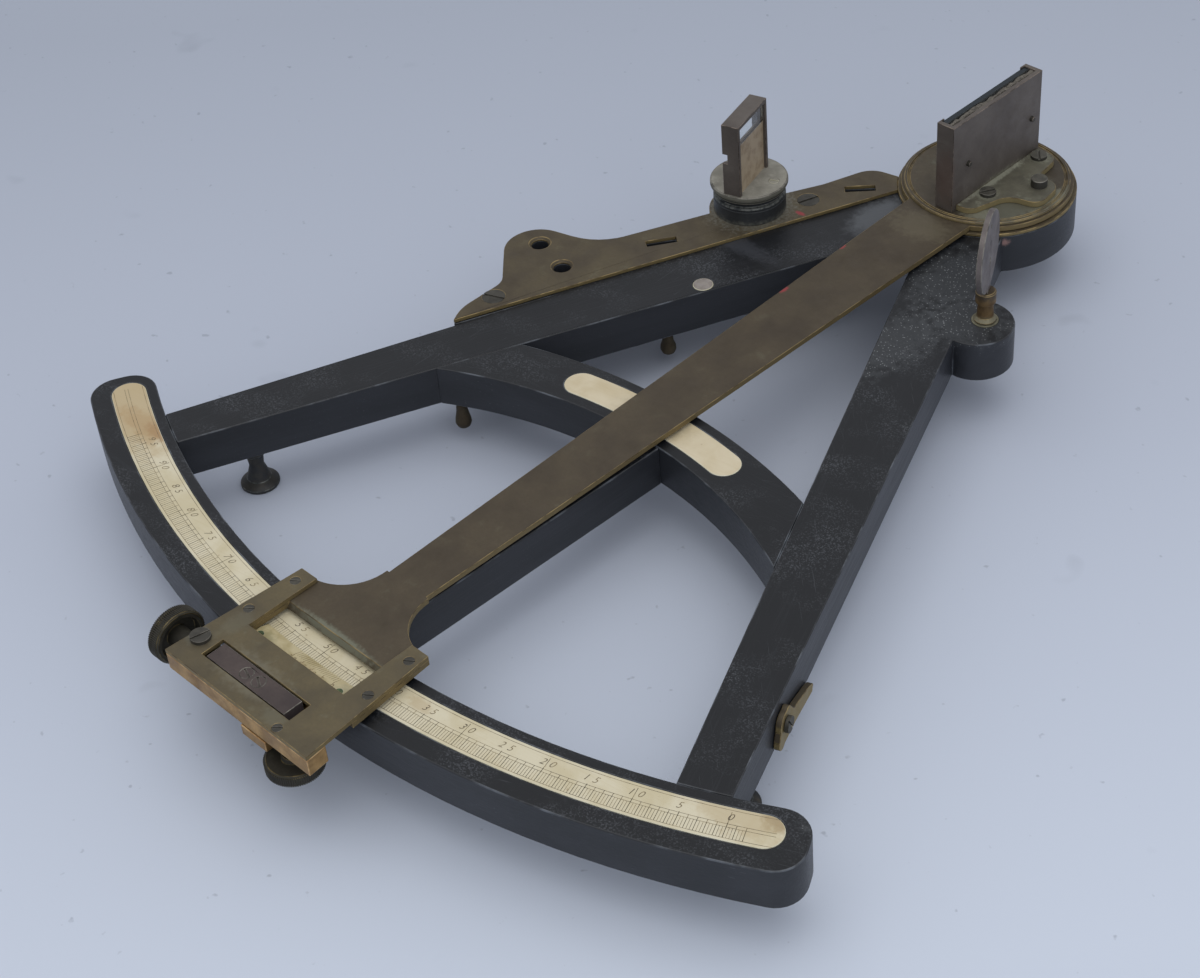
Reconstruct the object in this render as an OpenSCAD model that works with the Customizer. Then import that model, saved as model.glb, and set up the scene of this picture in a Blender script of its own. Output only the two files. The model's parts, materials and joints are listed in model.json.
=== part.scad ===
// Octant with an ebony frame, ivory scale and brass index arm, lying face up.
// Millimetres, +Z up. The pivot of the index arm is the Z axis, the origin lies on the
// surface under it, +Y runs from the scale towards the apex and +X is the zero end.

/* [Frame] */
// Radius of the line that the scale's divisions start from
scale_r = 254; // [240:1:275]
// Thickness of the ebony frame
frame_t = 12.2; // [11.5:0.1:15]
// Height of the frame's underside above the surface
stand_h = 14.8; // [14:0.1:20]
// Width of the arc inside the scale line
arc_in = 7.8; // [6.5:0.1:12]
// Width of the arc outside the scale line
arc_out = 10.2; // [7:0.1:10.8]
// Angle from the middle to the arc's left end
arc_left_deg = 29.6; // [29.4:0.1:31]
// Angle from the middle to the arc's right end
arc_right_deg = 29.2; // [28.8:0.1:31]
// Radius of the arc's end corners
arc_corner_r = 7.5; // [2:0.1:8]
// Angle between the middle and each limb
limb_deg = 23.2; // [22:0.1:24]
// Half width of a limb at the pivot, before it is cut by the apex
limb_apex_hw = 11.2; // [9:0.1:12]
// Half width of a limb where it meets the arc
limb_arc_hw = 6.6; // [5:0.1:8]
// Radius of the round apex
apex_r = 26.1; // [25.8:0.1:30]
// Distance from the pivot to the cross brace, in the middle
brace_y = 132.7; // [120:0.1:140]
// Width of the cross brace in the middle
brace_w = 15.6; // [12:0.1:20]
// Radius of the brace's edge on the apex side
brace_apex_bend = 168; // [150:1:190]
// Radius of the brace's edge on the arc side
brace_arc_bend = 133; // [125:1:150]
// Half width of the centre strut at the brace
strut_brace_hw = 9.3; // [7:0.1:11]
// Half width of the centre strut at the arc
strut_arc_hw = 5.4; // [4:0.1:7]

/* [Ivory] */
// Thickness of the ivory let into the frame
ivory_t = 1.2; // [0.8:0.1:2]
// Width of the scale inside the scale line
ivory_in = 4.9; // [4:0.1:6]
// Width of the scale outside the scale line
ivory_out = 4.5; // [4:0.1:6]
// Angle from the middle to the scale's left end
ivory_left_deg = 28.8; // [27:0.1:29]
// Angle from the middle to the scale's right end
ivory_right_deg = 27.9; // [27:0.1:28.5]
// Length of the note plate
note_len = 61; // [40:1:70]
// Width of the note plate
note_w = 9.2; // [6:0.1:11]
// Radius of the round plug in the left limb
plug_r = 2.9; // [1.5:0.1:3.2]
// Distance of the plug from the pivot along the limb
plug_s = 93.9; // [80:0.1:110]
// Distance of the plug from the limb's middle, inwards
plug_in = 6; // [0:0.1:6]

/* [Pivot] */
// Thickness of the wear plate on the apex
wear_t = 1; // [1:0.1:2]
// Radius of the pivot shaft
pivot_r = 5; // [3.5:0.1:6]
// Wall of the bush round the pivot shaft
bush_wall = 2.4; // [1.5:0.1:4]
// Radius of the washer under the bush
washer_r = 8.4; // [8:0.1:9.5]
// Thickness of the washer
washer_t = 1; // [0.6:0.1:1.2]
// Radius of the pivot nut
nut_r = 7; // [6.4:0.1:8]
// Height of the pivot nut
nut_h = 3; // [2:0.1:4]
// Inner radius of the pivot cap
cap_bore_r = 11; // [10:0.1:11.6]
// Outer radius of the pivot cap
cap_r = 14; // [13:0.1:18]
// Radius of the foot turned on the pivot cap
cap_foot_r = 4.8; // [4:0.1:5.2]
// Radius of the pivot cap's neck
cap_neck_r = 3.6; // [2.6:0.1:4]

/* [Index arm] */
// Thickness of the index arm
arm_t = 1.6; // [1.2:0.1:2.2]
// Radius of the arm's round head
head_r = 25.1; // [24.8:0.1:25.6]
// Half width of the arm next to its head
arm_head_hw = 11.2; // [9:0.1:12]
// Half width of the arm next to its shoulders
arm_end_hw = 6.8; // [6:0.1:8.4]
// Distance of the arm's wide end inside the scale line
end_in = 13.3; // [11:0.1:16]
// Radius of the hollow shoulders
shoulder_r = 13.1; // [10:0.1:14]
// Half width of the window over the scale
window_hw = 17.4; // [14:0.1:18.2]
// Distance from the wide end's edge to the window
window_in = 8.9; // [6:0.1:10.5]
// Depth of the slant on the window's edge towards the pivot
window_slant = 1; // [0.5:0.1:2]
// Radius of the grooved mirror table
table_r = 24.3; // [23.9:0.1:24.6]
// Thickness of the mirror table
table_t = 0.9; // [0.8:0.1:2]

/* [End plate] */
// Thickness of the end plate
plate_t = 1.2; // [1:0.1:2]
// Half width of the end plate at the arm
plate_arm_hw = 23.2; // [23:0.1:25]
// Half width of the end plate at its outer edge
plate_out_hw = 26.2; // [26:0.1:28]
// Length of the end plate
plate_len = 39.3; // [38.8:0.1:42]
// Depth of the outer bar, front to back
bar_d = 3.3; // [2:0.1:3.6]
// Height of the outer bar
bar_h = 5; // [4:0.1:6.5]
// Depth of the bar's thick right end
bar_end_d = 5.9; // [4:0.1:8]
// Length of the bar's thick right end
bar_end_len = 9.6; // [6:0.1:11]
// Distance from the scale line to the vernier's edge
vernier_gap = 3; // [3:0.1:4]
// Width of the vernier strip
vernier_w = 8.2; // [7:0.1:8.6]
// Width of the bevel on the vernier
vernier_bevel = 2.3; // [1:0.1:3]

/* [Tangent screw and clamp] */
// Radius of the tangent screw
tangent_r = 1.6; // [1.2:0.1:1.9]
// Radius of the tangent knob
tangent_knob_r = 7.1; // [5:0.1:8]
// Thickness of the tangent knob
tangent_knob_t = 4; // [3:0.1:6]
// Height of the tangent screw below the frame's top
tangent_drop = 2.2; // [1.9:0.1:2.4]
// Length of the slide block
block_len = 28.8; // [26:0.1:29]
// Width of the slide block
block_w = 5.5; // [4.6:0.1:6]
// Travel of the clamp towards the left
travel_left = 1; // [0.5:0.1:1.1]
// Travel of the clamp towards the right
travel_right = 2.3; // [1:0.1:3]
// Radius of the clamp knob
clamp_knob_r = 7; // [5:0.1:7.4]
// Thickness of the clamp knob
clamp_knob_t = 3.4; // [2:0.1:4]
// Thickness of the clamp leaf
leaf_t = 0.9; // [0.6:0.1:1.2]
// Radius of the clamp screw
clamp_screw_r = 1.5; // [1.2:0.1:1.8]

/* [Index mirror] */
// Width of the index mirror's box
mirror_w = 41; // [36:0.5:42]
// Distance of the index mirror's middle below the pivot
mirror_low = 1; // [0:0.1:2.2]
// Height of the index mirror's box
mirror_h = 28; // [20:0.5:32]
// Depth of the index mirror's box
mirror_d = 6; // [5.5:0.1:7]
// Wall of the index mirror's box
mirror_wall = 1.4; // [1:0.1:1.6]
// Thickness of the index mirror's glass
mirror_glass_t = 1.6; // [1:0.1:2]
// Thickness of the mirror bracket
bracket_t = 1.8; // [1.4:0.1:2.4]
// Height of the adjusting screw above the bracket
adjuster_h = 2.6; // [2:0.1:5]

/* [Horizon mirror] */
// Thickness of the horizon plate
horizon_plate_t = 1.1; // [1:0.1:1.6]
// Distance of the horizon axis to the left of the pivot
horizon_x = 46.4; // [46:0.1:48]
// Distance of the horizon axis below the pivot
horizon_y = 52.3; // [51:0.1:53]
// Turn of the horizon mirror from the middle line
horizon_deg = 15.5; // [10:0.5:25]
// Radius of the horizon collar
collar_r = 10.6; // [9:0.1:10.9]
// Height of the horizon collar
collar_h = 5.9; // [4:0.1:8]
// Radius of the disc that carries the horizon mirror
stage_r = 11.4; // [11:0.1:12]
// Radius of the horizon shaft
horizon_shaft_r = 4; // [3:0.1:5]
// Length of the horizon mirror's frame
horizon_len = 18.1; // [15:0.1:20]
// Height of the horizon mirror's frame
horizon_h = 23.1; // [18:0.1:28]
// Depth of the horizon mirror's frame
horizon_d = 5.4; // [4.6:0.1:7]
// Thickness of the strip of the horizon mirror's frame
strip_t = 1.2; // [0.8:0.1:1.6]
// Height of the silvered half of the horizon glass
silvered_h = 16; // [10:0.1:17]
// Radius of the two holes in the horizon plate
shade_hole_r = 2.5; // [2:0.1:3]
// Length of the lever under the horizon mirror
lever_len = 46.6; // [40:0.1:50]

/* [Sight] */
// Distance of the sight to the right of the pivot
sight_x = 39.2; // [38.6:0.1:41]
// Distance of the sight below the pivot
sight_y = 51.8; // [50:0.1:52.4]
// Turn of the sight disc's face
sight_deg = 25.5; // [0:0.5:90]
// Radius of the sight disc
sight_r = 11.6; // [9:0.1:13]
// Thickness of the sight disc
sight_t = 1.6; // [1.2:0.1:2.2]
// Radius of the stem of the sight
stem_r = 2.1; // [1.8:0.1:2.2]
// Radius of the boss that carries the sight
boss_r = 10.4; // [10:0.1:13]

/* [Feet, pegs and keeper] */
// Distance of the feet from the scale line, along the limbs
foot_in = 28; // [24:0.5:54]
// Radius of a foot's flange
foot_r = 5.4; // [5:0.1:7]
// Radius of a foot's stem
foot_stem_r = 2.4; // [1.8:0.1:3]
// Length of the drop-shaped pegs
peg_len = 9.8; // [6:0.1:11]
// Radius of the drop-shaped pegs
peg_r = 2.3; // [1.6:0.1:2.8]
// Distance of the keeper from the scale line, along the limb
keeper_in = 37.5; // [24:0.5:54]
// Length of the keeper's tail
keeper_len = 17.5; // [12:0.1:20]
// Thickness of the keeper
keeper_t = 1.6; // [1.2:0.1:2]

/* [Hidden] */
$fn = 96;
// Small amount by which a cut runs past a face
eps = 1;
// Radial clearance of a running fit
run_gap = 0.05;
// Clearance between faces that pass each other
pass_gap = 0.2;
// Clearance between curved faces of pieces that move past each other
turn_gap = 0.3;

// Levels, from the surface upwards
low_z = stand_h;
top_z = stand_h + frame_t;
arm_z = top_z + wear_t + pass_gap;
arm_top = arm_z + arm_t;
table_top = arm_top + table_t;
plate_top = arm_top + plate_t;
bracket_top = table_top + bracket_t;
horizon_plate_top = top_z + horizon_plate_t;
collar_top = horizon_plate_top + collar_h;

// Frame
arc_in_r = scale_r - arc_in;
arc_out_r = scale_r + arc_out;
limb_taper = (limb_apex_hw - limb_arc_hw) / arc_in_r;
limb_end_r = arc_in_r + 2;
foot_s = scale_r - foot_in;
keeper_s = scale_r - keeper_in;
brace_apex_c = -(brace_y + brace_apex_bend);
brace_arc_c = -(brace_y + brace_w + brace_arc_bend);
note_mid = brace_y + brace_w / 2 - 0.2;
note_bend = 150;
bush_r = pivot_r + bush_wall;

// Index arm and end plate, as distances below the pivot
end_y = scale_r - end_in;
shoulder_x = arm_end_hw + 0.8 + shoulder_r;
shoulder_y = end_y - shoulder_r - 0.1;
window_y = end_y + window_in;
window_out_y = scale_r + vernier_gap + 4.7;
frame_out_y = window_out_y + 4;
plate_out_y = end_y + plate_len;
bar_in_y = plate_out_y - bar_d;
bar_z = arm_top - bar_h;
plate_slope = (plate_out_hw - plate_arm_hw) / plate_len;
vernier_in_r = scale_r + vernier_gap;
vernier_top = arm_z;
vernier_z = top_z + pass_gap;
side_screw_in = 4;
side_screw_out = 17.5;
side_screw_edge = 2.6;

// Tangent screw and clamp
tangent_z = top_z - tangent_drop;
block_gap = 7.8;
block_y = arc_out_r + block_gap;
block_left = -17;
block_right = block_left + block_len;
block_top = plate_top - 0.2;
slot_gap = 0.35;
clamp_top = bar_z - turn_gap;
clamp_h = 3.2;
clamp_z = clamp_top - clamp_h;
clamp_step_x = 0;
bore_end_x = clamp_step_x - 1.5;
bearing_left = -25.2;
bearing_w = 4.6;
bearing_right = bearing_left + bearing_w;
tangent_collar_r = 2.6;
tangent_collar_t = 1;
tangent_hub_r = 2.8;
knob_gap = 7;
knob_right = bearing_left - knob_gap;
knob_left = knob_right - tangent_knob_t;
bearing_screw_x = -22.7;
leaf_z = clamp_z - leaf_t;
leaf_low_z = low_z - turn_gap - leaf_t;
leaf_left = -14;
leaf_right = 16;
leaf_leg_right = 9;
leaf_leg_left = -6;
leaf_leg_y = arc_out_r + 1.3;
leaf_tip_y = scale_r - 3;
clamp_screw_x = 12.8;
clamp_screw_y = block_y + 3.2;
clamp_knob_top = leaf_z - 2.1;
lip_y = plate_out_y + 0.2;
lip_left = 1;
lip_right = 10;
clamp_right = 16.4;

// Mirrors
mirror_x = -2.2;
box_right = mirror_x + mirror_d;
box_low_y = -mirror_w / 2 - mirror_low;
box_high_y = mirror_w / 2 - mirror_low;
glass_rebate = 0.5;
glass_x = mirror_x + glass_rebate;
packing_x = glass_x + mirror_glass_t;
stage_z = collar_top + 1.6;
stage_t = 2.6;
stage_top = stage_z + stage_t;
frame_near = -sqrt(pow(stage_r - 0.3, 2) - pow(horizon_d / 2, 2));
frame_far = frame_near + horizon_len;
lever_z = low_z - turn_gap;
lever_t = 1.6;
lever_deg = 11;
lever_nut_h = 2.2;

// Place on the dial: distance from the pivot and angle from the middle, to the right
function polar(r, a) = [r * sin(a), -r * cos(a)];
function unit(v) = v / norm(v);

// Points of an outline with rounded corners, from points of x, y and corner radius
function corner(a, b, c, r) =
    let (u = unit(a - b), v = unit(c - b), half = acos(min(1, max(-1, u * v))) / 2)
    let (m = b + unit(u + v) * r / sin(half), p = b + u * r / tan(half))
    let (q = b + v * r / tan(half), from = atan2(p.y - m.y, p.x - m.x))
    let (turn = atan2(q.y - m.y, q.x - m.x) - from)
    let (sweep = turn > 180 ? turn - 360 : turn < -180 ? turn + 360 : turn)
    let (steps = max(2, ceil(abs(sweep) / 9)))
    [for (i = [0:steps]) m + r * [cos(from + sweep * i / steps), sin(from + sweep * i / steps)]];
function flat(v) = [v.x, v.y];
function rounded(points) =
    let (n = len(points))
    [for (i = [0:n - 1]) each points[i].z == 0
        ? [flat(points[i])]
        : corner(flat(points[(i + n - 1) % n]), flat(points[i]), flat(points[(i + 1) % n]), points[i].z)];

// Half of a band's end: a quarter round at each corner, seen with the band's end to the right
function end_arc(r, c, from) =
    [for (i = [0:8]) [c * cos(from + i * 11.25), -r + c * sin(from + i * 11.25)]];
function turned(points, a) = [for (p = points) [p.x * cos(a) - p.y * sin(a), p.x * sin(a) + p.y * cos(a)]];
function mirrored(points) = [for (i = [len(points) - 1:-1:0]) [-points[i].x, points[i].y]];

// Outline that cuts a ring of radii a and b to a band with rounded ends
function band_end(a, b, c) = concat(
    [[0, -b - eps]], end_arc(b - c, c, -90), end_arc(a + c, c, 0), [[0, -a + eps]]);
module band(a, b, left_deg, right_deg, c) {
    middle = [for (k = [1:5]) polar(b / cos(7), -left_deg + (left_deg + right_deg) * k / 6)];
    intersection() {
        difference() {
            circle(r = b, $fn = 360);
            circle(r = a, $fn = 360);
        }
        polygon(concat([[0, -a / 2]], turned(mirrored(band_end(a, b, c)), -left_deg), middle,
            turned(band_end(a, b, c), right_deg)));
    }
}

// Plain disc standing on a level, and a slab of one or more outlines
module disc(x, y, z, r, h) {
    translate([x, y, z]) cylinder(r = r, h = h);
}
module slab(z, h) {
    for (i = [0:$children - 1]) translate([0, 0, z]) linear_extrude(h) children(i);
}
module block(x0, x1, y0, y1, z0, z1) {
    translate([x0, y0, z0]) cube([x1 - x0, y1 - y0, z1 - z0]);
}

// Screw with a slotted head, its head standing on z
module slotted_screw(x, y, z, head_r, head_h, shank_r, shank_len, slot_deg) {
    slot_w = head_r * 0.24;
    slot_depth = head_h * 0.45;
    translate([x, y, z]) {
        difference() {
            cylinder(r = head_r, h = head_h, $fn = 48);
            translate([0, 0, head_h - slot_depth / 2 + eps / 2]) rotate([0, 0, slot_deg])
                cube([2 * head_r + eps, slot_w, slot_depth + eps], center = true);
        }
        translate([0, 0, -shank_len]) cylinder(r = shank_r, h = shank_len, $fn = 48);
    }
}
module screw_hole(x, y, z, head_r, head_h, shank_r, shank_len) {
    disc(x, y, z, head_r, head_h + eps);
    disc(x, y, z - shank_len, shank_r, shank_len + eps);
}

// Straight limb outline along its own line, pointing away from the pivot
module limb_outline(side) {
    intersection() {
        rotate([0, 0, side * limb_deg]) polygon([
            [-limb_apex_hw, 0], [limb_apex_hw, 0],
            [limb_apex_hw - limb_taper * limb_end_r, -limb_end_r],
            [-limb_apex_hw + limb_taper * limb_end_r, -limb_end_r]]);
        circle(r = arc_in_r, $fn = 360);
    }
}

// Outline of the horizon plate and of the ebony lobe under it
horizon_points = [
    [-72.4, -147, 0.6], [-75.4, -141.2, 14], [-75.4, -125.1, 6], [-98.6, -101.9, 9.6],
    [-67.7, -94.2, 18], [-52.6, -61.8, 0], [-46, -47, 0], [-37.2, -30.2, 6],
    [-31.6, -14.8, 7.5], [-19, -12.5, 0], [-10.2, 0, 0]];
module horizon_leaf() {
    polygon(rounded(horizon_points));
}
module horizon_round() {
    translate([-horizon_x, -horizon_y]) circle(r = collar_r + 1.4);
}

// Holes that pass through the horizon plate and the lobe
shade_holes = [[-81, -104.8], [-67.8, -108.8]];
shade_slots = [[-54, -82, 55], [-27.2, -25.2, 44]];
slot_len = 9;
shade_slot_w = 2.8;
plate_screw_at = [[-72.2, -131.4], [-35.2, -39.2]];
module horizon_cuts() {
    for (p = shade_holes) disc(p.x, p.y, low_z - eps, shade_hole_r, frame_t + wear_t + 3 * eps);
    for (p = shade_slots) translate([p.x, p.y, low_z - eps]) rotate([0, 0, p.z])
        translate([-slot_len / 2, -shade_slot_w / 2, 0])
            cube([slot_len, shade_slot_w, frame_t + wear_t + 3 * eps]);
    disc(-horizon_x, -horizon_y, low_z - eps, horizon_shaft_r + turn_gap, frame_t + wear_t + 3 * eps);
    for (p = plate_screw_at) plate_screw_hole(p);
}
plate_screw_r = 3.3;
plate_screw_h = 0.8;
plate_screw_shank_r = 1.4;
plate_screw_len = 8;
module plate_screw_hole(p) {
    screw_hole(p.x, p.y, horizon_plate_top - plate_screw_h, plate_screw_r, plate_screw_h,
        plate_screw_shank_r, plate_screw_len);
}

// Frame
module arc_limb() {
    corner_deg = asin(arc_corner_r / scale_r);
    color("#26272b") difference() {
        translate([0, 0, low_z]) linear_extrude(frame_t)
            band(arc_in_r, arc_out_r, arc_left_deg - corner_deg, arc_right_deg - corner_deg,
                arc_corner_r);
        translate([0, 0, top_z - ivory_t]) linear_extrude(ivory_t + eps) scale_outline();
    }
}
module scale_outline() {
    w = (ivory_in + ivory_out) / 2;
    end_deg = asin(w / scale_r);
    band(scale_r - ivory_in, scale_r + ivory_out, ivory_left_deg - end_deg,
        ivory_right_deg - end_deg, w);
}
module scale_inlay() {
    color("#ded3b2") translate([0, 0, top_z - ivory_t]) linear_extrude(ivory_t) scale_outline();
}
plug_t = 2;
plug_x = -plug_s * sin(limb_deg) + plug_in * cos(limb_deg);
plug_y = -plug_s * cos(limb_deg) - plug_in * sin(limb_deg);
module left_limb() {
    color("#232428") difference() {
        slab(low_z, frame_t) {
            limb_outline(-1);
            horizon_leaf();
            horizon_round();
        }
        disc(0, 0, low_z - eps, apex_r, frame_t + 2 * eps);
        horizon_cuts();
        disc(plug_x, plug_y, top_z - plug_t, plug_r, plug_t + eps);
    }
}
module limb_plug() {
    color("#a99b95") disc(plug_x, plug_y, top_z - plug_t, plug_r, plug_t);
}
boss_x = sight_x - 0.9;
boss_y = sight_y + 2.5;
socket_r = 3.7;
socket_h = 8;
spigot_r = 2;
keeper_taper = atan(limb_taper);
keeper_z = top_z - 6.1;
keeper_hub_r = 3.3;
keeper_shank_r = 1.2;
keeper_shank_len = 5;
// Frame of the keeper: +X out of the limb's side, +Y towards the apex
module on_keeper() {
    hw = limb_apex_hw - limb_taper * keeper_s;
    rotate([0, 0, limb_deg]) translate([hw, -keeper_s, keeper_z])
        rotate([0, 0, -keeper_taper]) rotate([0, 90, 0]) children();
}
module right_limb() {
    color("#232428") difference() {
        slab(low_z, frame_t) {
            limb_outline(1);
            translate([boss_x, -boss_y]) circle(r = boss_r);
        }
        disc(0, 0, low_z - eps, apex_r, frame_t + 2 * eps);
        disc(sight_x, -sight_y, top_z - socket_h, socket_r, socket_h + eps);
        on_keeper() translate([0, 0, -keeper_shank_len])
            cylinder(r = keeper_shank_r, h = keeper_shank_len + eps, $fn = 48);
    }
}
module apex_boss() {
    color("#25262a") difference() {
        disc(0, 0, low_z, apex_r, frame_t);
        disc(0, 0, low_z - eps, bush_r, frame_t + 2 * eps);
    }
}
module cross_brace() {
    color("#26272b") difference() {
        translate([0, 0, low_z]) linear_extrude(frame_t) difference() {
            intersection() {
                translate([0, brace_apex_c]) circle(r = brace_apex_bend, $fn = 180);
                polygon([
                    [0, -limb_apex_hw / (sin(limb_deg) + limb_taper * cos(limb_deg))],
                    turned([[limb_apex_hw - limb_taper * limb_end_r, -limb_end_r]], -limb_deg)[0],
                    turned([[-limb_apex_hw + limb_taper * limb_end_r, -limb_end_r]], limb_deg)[0]]);
            }
            translate([0, brace_arc_c]) circle(r = brace_arc_bend, $fn = 180);
        }
        translate([0, 0, top_z - ivory_t]) linear_extrude(ivory_t + eps) note_outline();
    }
}
module note_outline() {
    w = note_w / 2;
    half_deg = asin((note_len / 2 - w) / note_bend);
    translate([0, -note_mid - note_bend]) rotate([0, 0, 180])
        band(note_bend - w, note_bend + w, half_deg, half_deg, w);
}
module note_plate() {
    color("#e2d8bb") translate([0, 0, top_z - ivory_t]) linear_extrude(ivory_t) note_outline();
}
module centre_strut() {
    color("#232428") translate([0, 0, low_z]) linear_extrude(frame_t) intersection() {
        difference() {
            polygon([
                [-strut_brace_hw, -brace_y], [strut_brace_hw, -brace_y],
                [strut_arc_hw, -arc_in_r - eps], [-strut_arc_hw, -arc_in_r - eps]]);
            difference() {
                circle(r = brace_y + brace_w + 3);
                translate([0, brace_arc_c]) circle(r = brace_arc_bend, $fn = 180);
            }
        }
        circle(r = arc_in_r, $fn = 360);
    }
}
module wear_plate() {
    color("#7a6a4a") difference() {
        disc(0, 0, top_z, apex_r, wear_t);
        disc(0, 0, top_z - eps, pivot_r + turn_gap, wear_t + 2 * eps);
    }
}
module pivot_bush() {
    color("#8d7a50") difference() {
        disc(0, 0, low_z, bush_r, frame_t);
        disc(0, 0, low_z - eps, pivot_r + run_gap, frame_t + 2 * eps);
    }
}
cap_flange = 1;
cap_room = washer_t + nut_h + 3 * pass_gap;
module pivot_cap() {
    cup_z = low_z - cap_room - 1;
    color("#5c4f3a") rotate_extrude() polygon([
        [0, 0], [cap_foot_r - 0.4, 0], [cap_foot_r, 0.5], [cap_foot_r, 1.4], [cap_neck_r, 2.8],
        [cap_neck_r, cup_z - 3], [cap_r - 2, cup_z], [cap_r, cup_z + 1.6], [cap_r, low_z - 2.4],
        [cap_r + cap_flange, low_z - 1.6], [cap_r + cap_flange, low_z], [cap_bore_r, low_z],
        [cap_bore_r, low_z - cap_room], [0, low_z - cap_room]]);
}
module horizon_plate() {
    color("#6b5c42") difference() {
        slab(top_z, horizon_plate_t) {
            horizon_leaf();
            horizon_round();
        }
        disc(0, 0, top_z - eps, apex_r, frame_t);
        rotate([0, 0, -limb_deg]) translate([-limb_apex_hw + 1.9, -scale_r, top_z - eps])
            cube([limb_apex_hw, scale_r, frame_t]);
        horizon_cuts();
        for (p = shade_holes) translate([p.x, p.y, horizon_plate_top - 0.7])
            cylinder(r1 = shade_hole_r, r2 = shade_hole_r + 0.8, h = 0.8);
    }
}
module plate_screws() {
    color("#74654a") for (i = [0:1]) slotted_screw(plate_screw_at[i].x, plate_screw_at[i].y,
        horizon_plate_top - plate_screw_h, plate_screw_r, plate_screw_h, plate_screw_shank_r,
        plate_screw_len, 20 + 50 * i);
}
neck_r = collar_r - 0.8;
module horizon_collar() {
    color("#3b3f42") translate([-horizon_x, -horizon_y, horizon_plate_top]) rotate_extrude() polygon([
        [horizon_shaft_r + run_gap, 0], [collar_r, 0], [collar_r, collar_h - 0.4],
        [collar_r - 0.4, collar_h], [neck_r, collar_h], [neck_r, collar_h + 1.4],
        [horizon_shaft_r + run_gap, collar_h + 1.4]]);
}
module sight_socket() {
    color("#8a7a58") difference() {
        disc(sight_x, -sight_y, top_z - socket_h, socket_r, socket_h);
        disc(sight_x, -sight_y, top_z - socket_h + 0.3, spigot_r + run_gap, socket_h + eps);
    }
}

// Turned foot, standing on the surface
module turned_foot() {
    rotate_extrude($fn = 64) polygon([
        [0, 0], [foot_r - 0.3, 0], [foot_r, 0.4], [foot_r, 1.1], [foot_r - 0.6, 1.7],
        [foot_r * 0.62, 2.6], [foot_stem_r * 1.15, 4.6], [foot_stem_r * 0.85, 7],
        [foot_stem_r, low_z - 4.4], [foot_stem_r * 1.5, low_z - 3.2], [foot_stem_r * 1.5, low_z - 2.2],
        [foot_stem_r * 1.1, low_z - 1.6], [foot_stem_r * 1.1, low_z], [0, low_z]]);
}
module feet() {
    color("#4c4334") for (side = [-1, 1])
        translate([side * foot_s * sin(limb_deg), -foot_s * cos(limb_deg), 0]) turned_foot();
}
// Drop-shaped peg that hangs from z
module drop_peg(z, length, r) {
    translate([0, 0, z - length]) rotate_extrude($fn = 48) polygon([
        [0, 0], [r * 0.45, 0.2], [r * 0.82, 0.9], [r, 2], [r * 0.95, 3.2], [r * 0.72, length * 0.6],
        [r * 0.6, length - 0.6], [r * 0.6, length], [0, length]]);
}
drop_peg_at = [-58.5, -158.5];
ball_peg_at = [-64, -160.5];
ball_peg_r = 1.7;
module stowage_pegs() {
    color("#57492f") {
        translate(drop_peg_at) drop_peg(low_z, peg_len, peg_r);
        translate([ball_peg_at.x, ball_peg_at.y, low_z - 2.4]) rotate_extrude($fn = 48) polygon([
            [0, 0], [ball_peg_r * 0.6, 0.3], [ball_peg_r, 1.1], [ball_peg_r * 0.8, 1.9],
            [ball_peg_r * 0.7, 2.4], [0, 2.4]]);
    }
}
module keeper_screw() {
    color("#6a5b40") on_keeper() translate([0, 0, keeper_t + 2 * pass_gap]) {
        difference() {
            cylinder(r = 2.1, h = 1, $fn = 48);
            translate([0, 0, 1]) rotate([0, 0, 30]) cube([6, 0.5, 0.9], center = true);
        }
        translate([0, 0, -keeper_shank_len - keeper_t - 2 * pass_gap])
            cylinder(r = keeper_shank_r, h = keeper_shank_len + keeper_t + 2 * pass_gap, $fn = 48);
    }
}

// Index arm
module side_screw_places() {
    for (side = [-1, 1], in = [side_screw_in, side_screw_out])
        translate([side * (plate_arm_hw + plate_slope * in - side_screw_edge), -(end_y + in), 0])
            children();
}
side_screw_r = 1.4;
side_screw_h = 0.8;
side_screw_shank_r = 0.8;
side_screw_len = 1.8;
module end_outline(out_y) {
    polygon([
        [-plate_arm_hw, -end_y], [plate_arm_hw, -end_y],
        [plate_arm_hw + plate_slope * (out_y - end_y), -out_y],
        [-plate_arm_hw - plate_slope * (out_y - end_y), -out_y]]);
}
// Cut for the window over the scale, its edge towards the pivot slanting down to the ivory
module window_cut() {
    translate([-window_hw, 0, 0]) rotate([90, 0, 90]) linear_extrude(2 * window_hw) polygon([
        [-window_out_y, arm_z - eps], [-window_y - window_slant, arm_z - eps],
        [-window_y - window_slant, arm_z], [-window_y, arm_top], [-window_y, arm_top + eps],
        [-window_out_y, arm_top + eps]]);
}
module index_arm() {
    nick = 0.6;
    color("#66573d") difference() {
        slab(arm_z, arm_t) {
            circle(r = head_r);
            polygon([
                [-arm_head_hw, -head_r * 0.8], [arm_head_hw, -head_r * 0.8],
                [arm_end_hw, -shoulder_y - eps], [-arm_end_hw, -shoulder_y - eps]]);
            difference() {
                polygon([
                    [-shoulder_x, -shoulder_y], [-arm_end_hw - nick, -shoulder_y + nick],
                    [arm_end_hw, -shoulder_y + nick], [shoulder_x, -shoulder_y],
                    [shoulder_x, -end_y - eps], [-shoulder_x, -end_y - eps]]);
                for (side = [-1, 1]) translate([side * shoulder_x, -shoulder_y])
                    circle(r = shoulder_r);
            }
            end_outline(frame_out_y);
        }
        disc(0, 0, arm_z - eps, pivot_r, arm_t + 2 * eps);
        window_cut();
        side_screw_places() disc(0, 0, plate_top - side_screw_h - side_screw_len,
            side_screw_shank_r, side_screw_len + eps);
    }
}
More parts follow.
